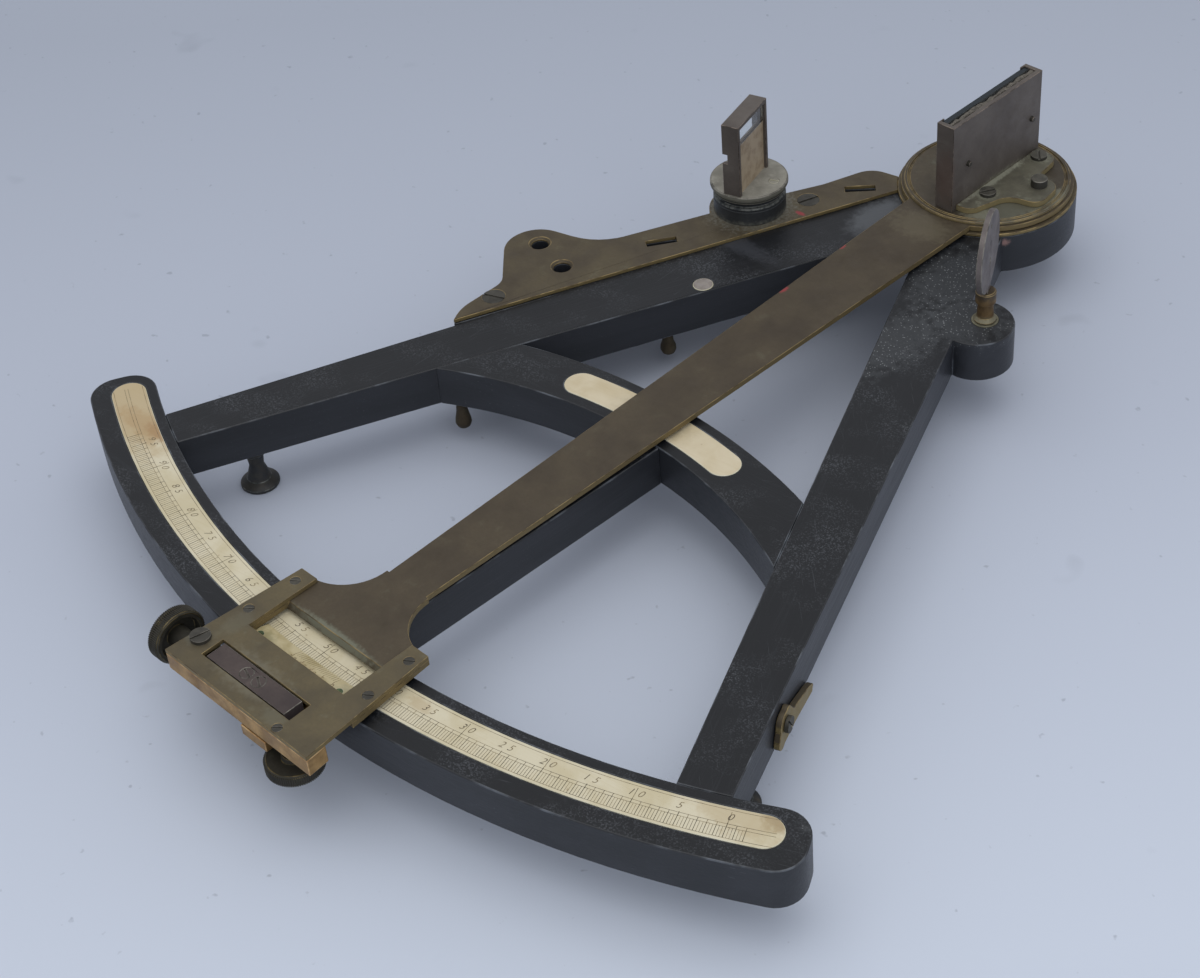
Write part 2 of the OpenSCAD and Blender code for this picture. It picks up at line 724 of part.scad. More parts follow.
module mirror_table() {
    color("#6f6045") translate([0, 0, arm_top]) rotate_extrude($fn = 128) polygon([
        [0, 0], [table_r, 0], [table_r, table_t - 0.3], [table_r - 0.3, table_t],
        [table_r - 1.1, table_t], [table_r - 1.3, table_t - 0.4], [table_r - 1.7, table_t - 0.4],
        [table_r - 1.9, table_t], [0, table_t]]);
}
shaft_z = low_z - 2 * pass_gap - washer_t - nut_h;
module pivot_shaft() {
    color("#8d8775") disc(0, 0, shaft_z, pivot_r, arm_top - shaft_z);
}
module pivot_washer() {
    color("#8a7850") difference() {
        disc(0, 0, low_z - pass_gap - washer_t, washer_r, washer_t);
        disc(0, 0, low_z - pass_gap - washer_t - eps, pivot_r, washer_t + 2 * eps);
    }
}
module pivot_nut() {
    color("#7d6d48") difference() {
        disc(0, 0, shaft_z, nut_r, nut_h + pass_gap);
        disc(0, 0, shaft_z - eps, pivot_r, nut_h + 2 * eps);
        for (side = [-1, 1]) translate([side * nut_r, 0, shaft_z])
            cube([1.4, 2 * nut_r, 2 * nut_h], center = true);
    }
}
slot_y0 = block_y - block_w / 2 - slot_gap;
slot_y1 = block_y + block_w / 2 + slot_gap;
bearing_screw_r = 2.6;
bearing_screw_shank_r = 1.4;
bar_screw_r = 1.3;
bar_screw_at = [14, -(bar_in_y + 1.7)];
module end_plate() {
    color("#5f5138") difference() {
        translate([0, 0, arm_top]) linear_extrude(plate_t) difference() {
            end_outline(plate_out_y);
            translate([-window_hw, -window_out_y]) square([2 * window_hw, window_out_y]);
            translate([block_left - travel_left - slot_gap / 2, -slot_y1])
                square([block_len + travel_left + travel_right + slot_gap, slot_y1 - slot_y0]);
        }
        side_screw_places() screw_hole(0, 0, plate_top - side_screw_h, side_screw_r, side_screw_h,
            side_screw_shank_r, side_screw_len);
        disc(bearing_screw_x, -block_y, arm_top - eps, bearing_screw_shank_r, plate_t + 2 * eps);
        disc(bar_screw_at.x, bar_screw_at.y, arm_top - eps, bar_screw_r, plate_t + 2 * eps);
    }
}
module side_screws() {
    color("#55503f") side_screw_places() slotted_screw(0, 0, plate_top - side_screw_h, side_screw_r,
        side_screw_h, side_screw_shank_r, side_screw_len, 35);
}
module outer_bar() {
    slope = plate_slope * bar_d;
    color("#b08a58") difference() {
        slab(bar_z, bar_h) {
            polygon([
                [-plate_out_hw + slope, -bar_in_y], [plate_out_hw - slope, -bar_in_y],
                [plate_out_hw, -plate_out_y], [-plate_out_hw, -plate_out_y]]);
            polygon([
                [plate_out_hw - bar_end_len, -plate_out_y], [plate_out_hw, -plate_out_y],
                [plate_out_hw - plate_slope * bar_end_d, -plate_out_y + bar_end_d],
                [plate_out_hw - bar_end_len, -plate_out_y + bar_end_d]]);
        }
        disc(bar_screw_at.x, bar_screw_at.y, arm_top - 3, bar_screw_r, 3 + eps);
    }
}
module bar_screw() {
    color("#6a5b40") difference() {
        disc(bar_screw_at.x, bar_screw_at.y, arm_top - 3, bar_screw_r, 3 + plate_t);
        translate([bar_screw_at.x, bar_screw_at.y, plate_top]) rotate([0, 0, 40])
            cube([4, 0.4, 0.6], center = true);
    }
}
vernier_pin_at = [[-15.6, vernier_in_r + 3.4], [13.6, vernier_in_r + 3.4]];
vernier_pin_r = 1;
module vernier() {
    color("#d8c48e") difference() {
        intersection() {
            rotate_extrude($fn = 360) polygon([
                [vernier_in_r, vernier_z], [vernier_in_r + vernier_w, vernier_z],
                [vernier_in_r + vernier_w, vernier_top], [vernier_in_r + vernier_bevel, vernier_top],
                [vernier_in_r, vernier_z + 0.2]]);
            block(-window_hw, window_hw, -plate_out_y, 0, low_z, plate_top);
        }
        for (p = vernier_pin_at) disc(p.x, -p.y, vernier_z - eps, vernier_pin_r, 2 * wear_t + 2 * eps);
    }
}
module vernier_pins() {
    color("#6f7a5e") for (p = vernier_pin_at)
        disc(p.x, -p.y, vernier_z, vernier_pin_r, vernier_top - vernier_z + 0.1);
}
module along_x(x, y, z) {
    translate([x, y, z]) rotate([0, 90, 0]) children();
}
module tangent_bearing() {
    color("#6d5d40") difference() {
        block(bearing_left, bearing_right, -block_y - 3.6, -block_y + 3.6, tangent_z - 3.6, arm_top);
        along_x(bearing_left - eps, -block_y, tangent_z)
            cylinder(r = tangent_r + run_gap, h = bearing_w + 2 * eps, $fn = 64);
        disc(bearing_screw_x, -block_y, tangent_z + 2.4, bearing_screw_shank_r, frame_t);
    }
}
module bearing_screw() {
    shank = plate_top - (tangent_z + 2.4);
    color("#554f42") slotted_screw(bearing_screw_x, -block_y, plate_top, bearing_screw_r, 1,
        bearing_screw_shank_r, shank, 75);
}

// Index mirror on its table, its glass over the pivot
pin_at = [[-14.4, 13.2], [15.4, 13.6]];
pin_r = 0.8;
// Block inside the mirror's box, standing off its end walls by in
module in_box(x0, x1, in, z0, z1) {
    block(x0, x1, box_low_y + in, box_high_y - in, z0, z1);
}
module mirror_box() {
    color("#4b4643") difference() {
        in_box(mirror_x, box_right, 0, table_top, table_top + mirror_h);
        in_box(glass_x, box_right - mirror_wall, mirror_wall, table_top + mirror_wall,
            table_top + mirror_h + eps);
        in_box(mirror_x - eps, glass_x + eps, 2 * mirror_wall, table_top + 2 * mirror_wall,
            table_top + mirror_h + eps);
        for (p = pin_at) along_x(box_right - mirror_wall - eps, p.x, table_top + p.y)
            cylinder(r = pin_r, h = mirror_wall + 2 * eps, $fn = 48);
    }
}
module mirror_glass() {
    color("#8e979b") in_box(glass_x, packing_x, mirror_wall, table_top + mirror_wall,
        table_top + mirror_h - 0.4);
}
module mirror_packing() {
    color("#6f6a5a") in_box(packing_x, box_right - mirror_wall, mirror_wall,
        table_top + mirror_wall, table_top + mirror_h - 1);
}
module mirror_pins() {
    color("#57524a") for (p = pin_at) along_x(box_right - mirror_wall, p.x, table_top + p.y)
        cylinder(r = pin_r, h = mirror_wall + 0.9, $fn = 48);
}
bracket_points = [
    [8.7, -19.4, 4], [12.6, -6.6, 6], [22.2, -4.6, 4], [20.8, 7.6, 4.4], [13, 7.2, 2.6],
    [11.6, 18.8, 4.2]];
bracket_screw_at = [[7.4, -9.4], [7.2, 15.2]];
bracket_screw_r = 2.4;
bracket_shank_r = 1.2;
adjuster_at = [table_r - 8.1, 3.2];
adjuster_r = 2.4;
module mirror_bracket() {
    color("#6d604a") difference() {
        translate([0, 0, table_top]) linear_extrude(bracket_t) polygon(rounded(concat(
            [[box_right, bracket_points[0].y - 0.2, 0]], bracket_points,
            [[box_right, bracket_points[5].y + 0.2, 0]])));
        for (p = concat(bracket_screw_at, [adjuster_at]))
            disc(p.x, p.y, table_top - eps, bracket_shank_r, bracket_t + 2 * eps);
    }
}
module bracket_screws() {
    color("#4e4a42") for (i = [0:1]) slotted_screw(bracket_screw_at[i].x, bracket_screw_at[i].y,
        bracket_top, bracket_screw_r, 1.1, bracket_shank_r, bracket_t, 60 + 70 * i);
}
module adjusting_screw() {
    color("#494742") {
        disc(adjuster_at.x, adjuster_at.y, bracket_top, adjuster_r, adjuster_h);
        disc(adjuster_at.x, adjuster_at.y, table_top, bracket_shank_r, bracket_t);
    }
}

// Tangent screw, turning in its bearing
module tangent_shaft() {
    end = bore_end_x - travel_left - pass_gap;
    color("#8b8370") {
        along_x(knob_left + 1.2, -block_y, tangent_z)
            cylinder(r = tangent_r, h = end - knob_left - 1.2, $fn = 64);
        along_x(bearing_right + pass_gap, -block_y, tangent_z)
            cylinder(r = tangent_collar_r, h = tangent_collar_t, $fn = 64);
    }
}
module tangent_knob() {
    r = tangent_knob_r;
    t = tangent_knob_t;
    hub = knob_right - knob_left + knob_gap - pass_gap;
    color("#45443c") along_x(knob_left, -block_y, tangent_z) rotate_extrude($fn = 96) polygon([
        [0, 0], [r - 0.6, 0], [r, 0.5], [r, t * 0.3], [r - 0.4, t * 0.36], [r - 0.4, t * 0.44],
        [r, t * 0.5], [r, t - 0.4], [r - 0.5, t], [r - 1.5, t], [r - 1.8, t * 0.55],
        [tangent_hub_r, t * 0.55], [tangent_hub_r, hub], [tangent_r, hub], [tangent_r, 1.2], [0, 1.2]]);
}

// Clamp, sliding along X under the end plate
module slide_block() {
    y0 = -block_y - block_w / 2;
    y1 = -block_y + block_w / 2;
    color("#4a4446") difference() {
        union() {
            block(block_left, clamp_step_x, y0, y1, clamp_z, block_top);
            block(clamp_step_x, block_right, y0, y1, clamp_top, block_top);
        }
        along_x(block_left - eps, -block_y, tangent_z)
            cylinder(r = tangent_r + run_gap, h = bore_end_x - block_left + eps, $fn = 64);
        for (x = slide_screw_at) screw_hole(x, -block_y, block_top - slide_screw_h, slide_screw_r,
            slide_screw_h, slide_shank_r, slide_shank_len);
        for (x = leaf_screw_at) disc(x, -block_y, clamp_z - eps, leaf_shank_r, 1.2 + eps);
    }
}
slide_screw_at = [-5.2, -0.8];
slide_screw_r = 1.75;
slide_screw_h = 0.8;
slide_shank_r = 0.9;
slide_shank_len = 2.4;
module slide_screws() {
    color("#5d564c") for (i = [0:1]) slotted_screw(slide_screw_at[i], -block_y,
        block_top - slide_screw_h, slide_screw_r, slide_screw_h, slide_shank_r, slide_shank_len,
        -20 - 10 * i);
}
module clamp_body() {
    color("#a3815a") difference() {
        union() {
            block(clamp_step_x, clamp_right, -(bar_in_y - 0.4), -leaf_leg_y, clamp_z, clamp_top);
            block(lip_left, lip_right, -lip_y, -leaf_leg_y, clamp_z, clamp_top);
        }
        disc(clamp_screw_x, -clamp_screw_y, clamp_z - eps, clamp_screw_r + run_gap, clamp_h + 2 * eps);
    }
}
leaf_screw_at = [-11.5, -5];
leaf_screw_r = 1.7;
leaf_shank_r = 0.8;
module clamp_leaf() {
    color("#77694a") difference() {
        union() {
            block(leaf_left, leaf_right, -(bar_in_y + 1), -leaf_leg_y, leaf_z, clamp_z);
            block(leaf_leg_left, leaf_leg_right, -leaf_leg_y - leaf_t, -leaf_leg_y, leaf_low_z, clamp_z);
            block(leaf_leg_left, leaf_leg_right, -leaf_leg_y, -leaf_tip_y, leaf_low_z, leaf_low_z + leaf_t);
        }
        disc(clamp_screw_x, -clamp_screw_y, leaf_z - eps, clamp_screw_r + turn_gap, leaf_t + 2 * eps);
        for (x = leaf_screw_at) disc(x, -block_y, leaf_z - eps, leaf_shank_r, leaf_t + 2 * eps);
    }
}
module leaf_screws() {
    color("#6a5c41") for (x = leaf_screw_at) {
        disc(x, -block_y, leaf_z - 0.9, leaf_screw_r, 0.9);
        disc(x, -block_y, leaf_z, leaf_shank_r, leaf_t + 1.2);
    }
}
module clamp_knob() {
    r = clamp_knob_r;
    t = clamp_knob_t;
    color("#4a4a40") translate([clamp_screw_x, -clamp_screw_y, clamp_knob_top - t]) {
        rotate_extrude($fn = 96) polygon([
            [0, 0.8], [r - 2, 0.8], [r - 1.4, 0], [r - 0.5, 0], [r, 0.5], [r, t - 0.5], [r - 0.5, t],
            [3, t], [2.6, t + 1.2], [0, t + 1.2]]);
        cylinder(r = clamp_screw_r, h = clamp_top - pass_gap - clamp_knob_top + t, $fn = 64);
    }
}

// Horizon mirror, turning on its collar
module on_horizon(z) {
    translate([-horizon_x, -horizon_y, z]) children();
}
module horizon_stage() {
    color("#6e6d5c") difference() {
        on_horizon(stage_z) rotate_extrude() polygon([
            [0, 0], [stage_r - 0.6, 0], [stage_r - 0.6, 1.1], [stage_r, 1.3], [stage_r, stage_t - 0.2],
            [stage_r - 0.3, stage_t], [0, stage_t]]);
        on_horizon(stage_top - stage_screw_t) rotate([0, 0, stage_screw_deg])
            translate([stage_screw_c, 0, 0]) cylinder(r = stage_screw_r, h = stage_screw_t + eps, $fn = 48);
        on_horizon(stage_z - eps) cylinder(r = horizon_shaft_r, h = eps + 0.9);
    }
}
stage_screw_t = 0.8;
stage_screw_r = 1.5;
stage_screw_c = 7.6;
stage_screw_deg = 24;
module stage_screw() {
    color("#7b7866") on_horizon(stage_top - stage_screw_t) rotate([0, 0, stage_screw_deg])
        translate([stage_screw_c, 0, 0]) difference() {
            cylinder(r = stage_screw_r, h = stage_screw_t, $fn = 48);
            translate([0, 0, stage_screw_t]) cube([4, 0.4, 0.6], center = true);
        }
}
// Frame of the horizon mirror: +Y along its length, +X out of its silvered face
module on_mirror() {
    on_horizon(stage_top) rotate([0, 0, horizon_deg]) children();
}
notch_d = 1.6;
module horizon_frame() {
    d = horizon_d / 2;
    color("#4a4540") on_mirror() difference() {
        block(-d, d, frame_near, frame_far, 0, horizon_h);
        block(-d - eps, d + eps, frame_near + strip_t, frame_far - strip_t, -eps,
            horizon_h - strip_t);
        block(-d - eps, -d + notch_d, frame_near - eps, frame_near + strip_t + eps,
            horizon_h * 0.45, horizon_h * 0.58);
    }
}
pane_t = 1.5;
backing_t = 1;
pane_x = horizon_d / 2 - 0.8;
module horizon_glass() {
    color("#aab4b4") on_mirror() block(pane_x - pane_t, pane_x, frame_near + strip_t,
        frame_far - strip_t, 0, horizon_h - strip_t);
}
module horizon_backing() {
    color("#8d7963") on_mirror() block(pane_x - pane_t - backing_t, pane_x - pane_t,
        frame_near + strip_t, frame_far - strip_t, 0, silvered_h);
}
module horizon_shaft() {
    color("#8d8775") on_horizon(lever_z - lever_t - lever_nut_h)
        cylinder(r = horizon_shaft_r, h = stage_z + 0.9 - lever_z + lever_t + lever_nut_h);
}
handle_hw = 2.6;
module horizon_lever() {
    hub_r = horizon_shaft_r + 2.4;
    color("#6d5d40") on_horizon(lever_z - lever_t) rotate([0, 0, lever_deg]) difference() {
        slab(0, lever_t) {
            circle(r = hub_r);
            polygon([
                [-hub_r * 0.8, 0], [hub_r * 0.8, 0], [handle_hw, -lever_len], [-handle_hw, -lever_len]]);
            translate([0, -lever_len]) circle(r = handle_hw);
        }
        translate([0, 0, -eps]) cylinder(r = horizon_shaft_r, h = lever_t + 2 * eps);
    }
}
module lever_handle() {
    color("#57492f") on_horizon(0) rotate([0, 0, lever_deg]) translate([0, -lever_len, 0])
        drop_peg(lever_z - lever_t, peg_len - 2, peg_r);
}
module lever_nut() {
    color("#7d6d48") on_horizon(lever_z - lever_t - lever_nut_h) difference() {
        cylinder(r = horizon_shaft_r + 1.8, h = lever_nut_h, $fn = 6);
        translate([0, 0, -eps]) cylinder(r = horizon_shaft_r, h = lever_nut_h + 2 * eps);
    }
}

// Peep sight, swivelling in its socket
stem_h = 6;
sight_collar_h = 3.6;
sight_z = top_z + pass_gap + stem_h + sight_collar_h + 1 + sight_r;
sight_collar_r = 2.85;
tang_w = 3.4;
tang_depth = 2.2;
sight_hole_at = [8.4, -2.4];
sight_hole_r = 0.6;
module on_sight(z) {
    translate([sight_x, -sight_y, z]) rotate([0, 0, sight_deg]) children();
}
module sight_stem() {
    color("#8c7145") difference() {
        on_sight(top_z + pass_gap) rotate_extrude($fn = 64) polygon([
            [0, -socket_h + 0.8], [spigot_r, -socket_h + 0.8], [spigot_r, 0], [3.2, 0], [3.2, 0.4],
            [stem_r + 0.25, 1.4], [stem_r, stem_h], [sight_collar_r, stem_h],
            [sight_collar_r, stem_h + sight_collar_h - 0.4],
            [sight_collar_r - 0.4, stem_h + sight_collar_h], [0, stem_h + sight_collar_h]]);
        on_sight(top_z + pass_gap + stem_h + sight_collar_h - tang_depth)
            translate([-sight_t / 2, -tang_w / 2, 0]) cube([sight_t, tang_w, tang_depth + eps]);
    }
}
module sight_disc() {
    tang_z = top_z + pass_gap + stem_h + sight_collar_h - tang_depth;
    color("#6d6663") difference() {
        union() {
            on_sight(sight_z) rotate([0, 90, 0]) translate([0, 0, -sight_t / 2])
                cylinder(r = sight_r, h = sight_t);
            on_sight(tang_z) translate([-sight_t / 2, -tang_w / 2, 0])
                cube([sight_t, tang_w, sight_z - sight_r + 1.5 - tang_z]);
        }
        for (h = sight_hole_at) on_sight(sight_z + h) rotate([0, 90, 0])
            translate([0, 0, -sight_t / 2 - eps])
                cylinder(r = sight_hole_r, h = sight_t + 2 * eps, $fn = 32);
    }
}

// Keeper, a turn button on the outer side of the right limb
keeper_points = [
    [-2.6, -1.6, 0.4], [-3.6, 2.6, 1.5], [0.4, 5.6, 3], [3.4, keeper_len - 2.4, 4],
    [5.4, keeper_len + 1.6, 0.6], [7.4, keeper_len + 0.6, 0.6], [5.6, 6.2, 5], [5.2, -3.4, 1],
    [2.4, -4.6, 0.6]];
module keeper() {
    color("#7a6847") on_keeper() translate([0, 0, pass_gap]) difference() {
        slab(0, keeper_t) {
            circle(r = keeper_hub_r);
            translate([3.6, -2.6]) circle(r = 2.1);
            polygon(rounded(keeper_points));
        }
        translate([0, 0, -eps]) cylinder(r = keeper_shank_r + run_gap, h = keeper_t + 2 * eps, $fn = 48);
    }
}

arc_limb();
left_limb();
right_limb();
apex_boss();
cross_brace();
centre_strut();
scale_inlay();
note_plate();
limb_plug();
wear_plate();
pivot_bush();
pivot_cap();
horizon_plate();
plate_screws();
horizon_collar();
sight_socket();
feet();
stowage_pegs();
keeper_screw();
index_arm();
mirror_table();
pivot_shaft();
pivot_washer();
pivot_nut();
end_plate();
side_screws();
outer_bar();
bar_screw();
vernier();
vernier_pins();
tangent_bearing();
bearing_screw();
mirror_box();
mirror_glass();
mirror_packing();
mirror_pins();
mirror_bracket();
bracket_screws();
adjusting_screw();
tangent_shaft();
tangent_knob();
slide_block();
slide_screws();
clamp_body();
clamp_leaf();
leaf_screws();
clamp_knob();
horizon_stage();
horizon_frame();
horizon_glass();
horizon_backing();
stage_screw();
horizon_shaft();
horizon_lever();
lever_handle();
lever_nut();
sight_stem();
sight_disc();
keeper();
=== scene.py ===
# %% [markdown]
# # An old octant, dressed over its CAD frame
# The octant lies face up on three feet. Its frame is ebony, its scale is ivory, and its arm,
# mirrors and screws are brass that has browned with age. The CAD model gives each piece its
# place and size. Here the pieces get worn edges, fine marks and aged surfaces.

import bpy
import bmesh
import json
import math
from mathutils import Matrix, Vector


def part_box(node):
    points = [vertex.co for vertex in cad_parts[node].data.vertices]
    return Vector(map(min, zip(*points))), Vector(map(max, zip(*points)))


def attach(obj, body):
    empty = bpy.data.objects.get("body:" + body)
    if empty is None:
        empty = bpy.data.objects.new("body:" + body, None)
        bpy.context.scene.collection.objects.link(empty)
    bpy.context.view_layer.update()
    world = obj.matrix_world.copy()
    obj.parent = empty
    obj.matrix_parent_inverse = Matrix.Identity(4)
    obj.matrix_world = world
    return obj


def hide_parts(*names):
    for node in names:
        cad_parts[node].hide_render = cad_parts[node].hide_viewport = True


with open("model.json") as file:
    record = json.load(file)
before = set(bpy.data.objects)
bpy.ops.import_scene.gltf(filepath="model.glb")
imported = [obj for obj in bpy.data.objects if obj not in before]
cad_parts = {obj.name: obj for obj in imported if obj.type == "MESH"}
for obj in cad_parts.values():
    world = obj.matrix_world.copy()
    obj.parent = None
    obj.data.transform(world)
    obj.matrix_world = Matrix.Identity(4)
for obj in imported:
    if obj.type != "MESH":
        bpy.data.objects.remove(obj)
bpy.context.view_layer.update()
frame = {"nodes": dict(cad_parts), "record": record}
MM = 0.001

# %% [markdown]
# ## Camera, floor and light
# The photograph looks down at the octant from its right, from 0.6 m away, with a slightly
# rolled camera. The angles and the lens were measured from the picture. The floor is a pale
# blue-grey sheet, painted paler towards the camera as painted light falloff. The light is a
# large soft source overhead, a weaker one from the right and an even sky, which together give
# the soft shadows of the picture.

# %% Small helpers for colours and nodes
# The sockets of a Mix node that mixes colours: its two inputs and its output
MIX_A, MIX_B, MIX_OUT = 6, 7, 2


def colour(hex_code):
    """An sRGB hex colour as the linear values that Blender's sockets take."""
    parts = [int(hex_code[i:i + 2], 16) / 255 for i in (1, 3, 5)]
    linear = [p / 12.92 if p <= 0.04045 else ((p + 0.055) / 1.055) ** 2.4 for p in parts]
    return (*linear, 1.0)


def add_node(tree, kind, inputs=None, ramp=None, **settings):
    """Adds a node. An input is a value or another node's output; a ramp is (position, colour) pairs."""
    node = tree.nodes.new("ShaderNode" + kind)
    for name, value in settings.items():
        setattr(node, name, value)
    for socket, value in (inputs or {}).items():
        if isinstance(value, bpy.types.NodeSocket):
            tree.links.new(value, node.inputs[socket])
        else:
            node.inputs[socket].default_value = value
    if ramp:
        stops = node.color_ramp.elements
        while len(stops) < len(ramp):
            stops.new(1.0)
        for stop, (position, tone) in zip(stops, ramp):
            stop.position = position
            stop.color = tone
    return node


print("mid grey in linear values:", [round(v, 3) for v in colour("#808080")])

# %% Camera at the photograph's angle
CAMERA = {"azimuth": 47.11, "elevation": 39.55, "roll": -4.62, "distance": 0.5926, "lens": 68.62}
TARGET = Vector((0.00274, -0.14943, 0.0270))
SHIFT = (-0.0333, -0.0408)


def aim_camera():
    """Places the camera round its target, then rolls it."""
    turn, rise, roll = (math.radians(CAMERA[k]) for k in ("azimuth", "elevation", "roll"))
    level = Vector((math.sin(turn), -math.cos(turn), 0))
    back = level * math.cos(rise) + Vector((0, 0, math.sin(rise)))
    right = Vector((math.cos(turn), math.sin(turn), 0))
    up = back.cross(right)
    side = math.cos(roll) * right + math.sin(roll) * up
    top = math.cos(roll) * up - math.sin(roll) * right
    camera = bpy.data.objects.new("camera", bpy.data.cameras.new("camera"))
    bpy.context.scene.collection.objects.link(camera)
    axes = Matrix((side, top, back)).transposed().to_4x4()
    camera.matrix_world = Matrix.Translation(TARGET + back * CAMERA["distance"]) @ axes
    camera.data.lens = CAMERA["lens"]
    camera.data.shift_x, camera.data.shift_y = SHIFT
    camera.data.clip_start = 0.01
    bpy.context.scene.camera = camera
    return camera


print("camera at", [round(v, 3) for v in aim_camera().location])

# %% Floor under the feet
# The sheet's tones from far to near, a painted light falloff that is paler towards the camera, their
# places between the two ends, and the ends in metres
SHEET_PAINTED_FALLOFF_TONES = ("#abb2c0", "#bcc3d2", "#ced6e4")
SHEET_STOPS = (0.0, 0.6, 1.0)
SHEET_FAR, SHEET_NEAR = -0.184, 0.254
SHEET_SIZE, SHEET_MIDDLE = 6, (0, -0.15, 0)
# Flecks of dust, fine and broad: features per metre, threshold and depth
FLECKS = ((260.0, 0.71, 0.35), (38.0, 0.7, 0.16))
FLECK_TONE, FLECK_EDGE = "#6f7684", 0.06


def lay_floor():
    """A wide pale sheet with a few flecks of dust, its colour paler towards the camera as painted light
    falloff.
    """
    bpy.ops.object.select_all(action="DESELECT")
    bpy.ops.mesh.primitive_plane_add(size=SHEET_SIZE, location=SHEET_MIDDLE)
    floor = bpy.context.object
    floor.name = "floor"
    bpy.ops.object.transform_apply(location=True, rotation=True, scale=True)
    material = bpy.data.materials.new("painted_backdrop_sheet")
    material.use_nodes = True
    tree = material.node_tree
    shader = tree.nodes["Principled BSDF"]
    place = add_node(tree, "TexCoord").outputs["Object"]
    to_camera = (0, 0, math.radians(90 - CAMERA["azimuth"]))
    turned = add_node(tree, "Mapping", {"Vector": place, "Rotation": to_camera})
    nearer = add_node(tree, "SeparateXYZ", {0: turned.outputs["Vector"]}).outputs["X"]
    # Painted light falloff: the sheet's tone runs from darker far away to paler near the camera.
    painted_falloff = add_node(tree, "MapRange", {"Value": nearer, "From Min": SHEET_FAR, "From Max": SHEET_NEAR})
    tone = add_node(tree, "ValToRGB", {"Fac": painted_falloff.outputs["Result"]},
                    ramp=list(zip(SHEET_STOPS, map(colour, SHEET_PAINTED_FALLOFF_TONES)))).outputs["Color"]
    for scale, low, depth in FLECKS:
        fleck = add_node(tree, "TexNoise", {"Vector": place, "Scale": scale, "Detail": 2.0})
        mask = add_node(tree, "MapRange", {"Value": fleck.outputs["Fac"], "From Min": low,
                                           "From Max": low + FLECK_EDGE, "To Max": depth})
        tone = add_node(tree, "Mix", {0: mask.outputs["Result"], MIX_A: tone,
                                      MIX_B: colour(FLECK_TONE)}, data_type="RGBA").outputs[MIX_OUT]
    tree.links.new(tone, shader.inputs["Base Color"])
    shader.inputs["Roughness"].default_value = 0.85
    floor.data.materials.append(material)


lay_floor()
print("floor:", SHEET_SIZE, "m wide, in", len(SHEET_PAINTED_FALLOFF_TONES), "tones")

# %% Sky and lamps
SKY_TONE, SKY_LEVEL = "#eef1f8", 0.66
# Each lamp's place and size in metres, its power in watts and its tone
LAMPS = {"overhead_softbox": ((0.08, -0.27, 1.25), 1.5, 6.0, "#fbfaf6"),
         "right_fill": ((1.0, -0.6, 0.8), 0.9, 2.2, "#f4f6fb")}


def light_sky():
    """An even, faintly blue sky, which fills the shadows."""
    world = bpy.data.worlds.new("studio_sky")
    bpy.context.scene.world = world
    world.use_nodes = True
    sky = world.node_tree.nodes["Background"]
    sky.inputs["Color"].default_value = colour(SKY_TONE)
    sky.inputs["Strength"].default_value = SKY_LEVEL


def hang_lamp(name, place, size, watts, tone):
    """A square soft lamp aimed at the octant."""
    lamp = bpy.data.objects.new(name, bpy.data.lights.new(name, "AREA"))
    bpy.context.scene.collection.objects.link(lamp)
    lamp.data.size = size
    lamp.data.energy = watts
    lamp.data.color = colour(tone)[:3]
    lamp.location = place
    lamp.rotation_euler = (TARGET - lamp.location).to_track_quat("-Z", "Y").to_euler()


light_sky()
for lamp_name, recipe in LAMPS.items():
    hang_lamp(lamp_name, *recipe)
bpy.context.scene.view_settings.view_transform = "Standard"

# %% [markdown]
# ## Finishes
# Each finish starts from the real material and how its surface was made. The patterns read
# Object coordinates in metres, so every grain, pit and stain has a size in millimetres. A
# Mapping node of the Texture kind turns the pattern first and then divides by its size.

# %% Pattern helpers
def new_finish(name):
    """A material with its tree, its shader and its Object coordinates."""
    material = bpy.data.materials.new(name)
    material.use_nodes = True
    tree = material.node_tree
    place = add_node(tree, "TexCoord").outputs["Object"]
    return material, tree, tree.nodes["Principled BSDF"], place


def grain(tree, place, size_mm, degrees=0.0, detail=4.0, rough=0.55, distort=0.0):
    """A noise whose features have that size in mm along, across and up, turned about Z."""
    turned = add_node(tree, "Mapping", {"Vector": place, "Rotation": (0, 0, math.radians(degrees)),
                                        "Scale": [s * MM for s in size_mm]}, vector_type="TEXTURE")
    return add_node(tree, "TexNoise", {"Vector": turned.outputs["Vector"], "Scale": 1.0,
                                       "Detail": detail, "Roughness": rough,
                                       "Distortion": distort}).outputs["Fac"]


def lay_over(tree, under, over, pattern, low, high, depth=1.0):
    """Lays one tone over another where a pattern runs from low to high, as strongly as depth."""
    under, over = (colour(tone) if isinstance(tone, str) else tone for tone in (under, over))
    mask = add_node(tree, "MapRange", {"Value": pattern, "From Min": low, "From Max": high,
                                       "To Max": depth}, interpolation_type="SMOOTHSTEP")
    return add_node(tree, "Mix", {0: mask.outputs["Result"], MIX_A: under, MIX_B: over},
                    data_type="RGBA").outputs[MIX_OUT]


def stain(tree, place, under, over, centre_mm, reach_mm, depth=1.0, ragged=0.35):
    """A ragged stain of one tone: full at its centre, and gone past its reach."""
    local = add_node(tree, "Mapping", {"Vector": place, "Location": [c * MM for c in centre_mm],
                                       "Scale": [r * MM for r in reach_mm]}, vector_type="TEXTURE")
    away = add_node(tree, "VectorMath", {0: local.outputs["Vector"]}, operation="LENGTH")
    rag = grain(tree, place, [min(reach_mm) * 0.5] * 3, detail=3.0)
    edge = add_node(tree, "Math", {0: rag, 1: ragged * 2, 2: away.outputs["Value"]},
                    operation="MULTIPLY_ADD").outputs[0]
    return lay_over(tree, under, over, edge, 1.0 + ragged, 0.4 + ragged, depth)


def facing_up(tree):
    """How far the surface faces up: 1 on a top, 0 on a wall."""
    normal = add_node(tree, "NewGeometry").outputs["Normal"]
    return add_node(tree, "SeparateXYZ", {0: normal}).outputs["Z"]


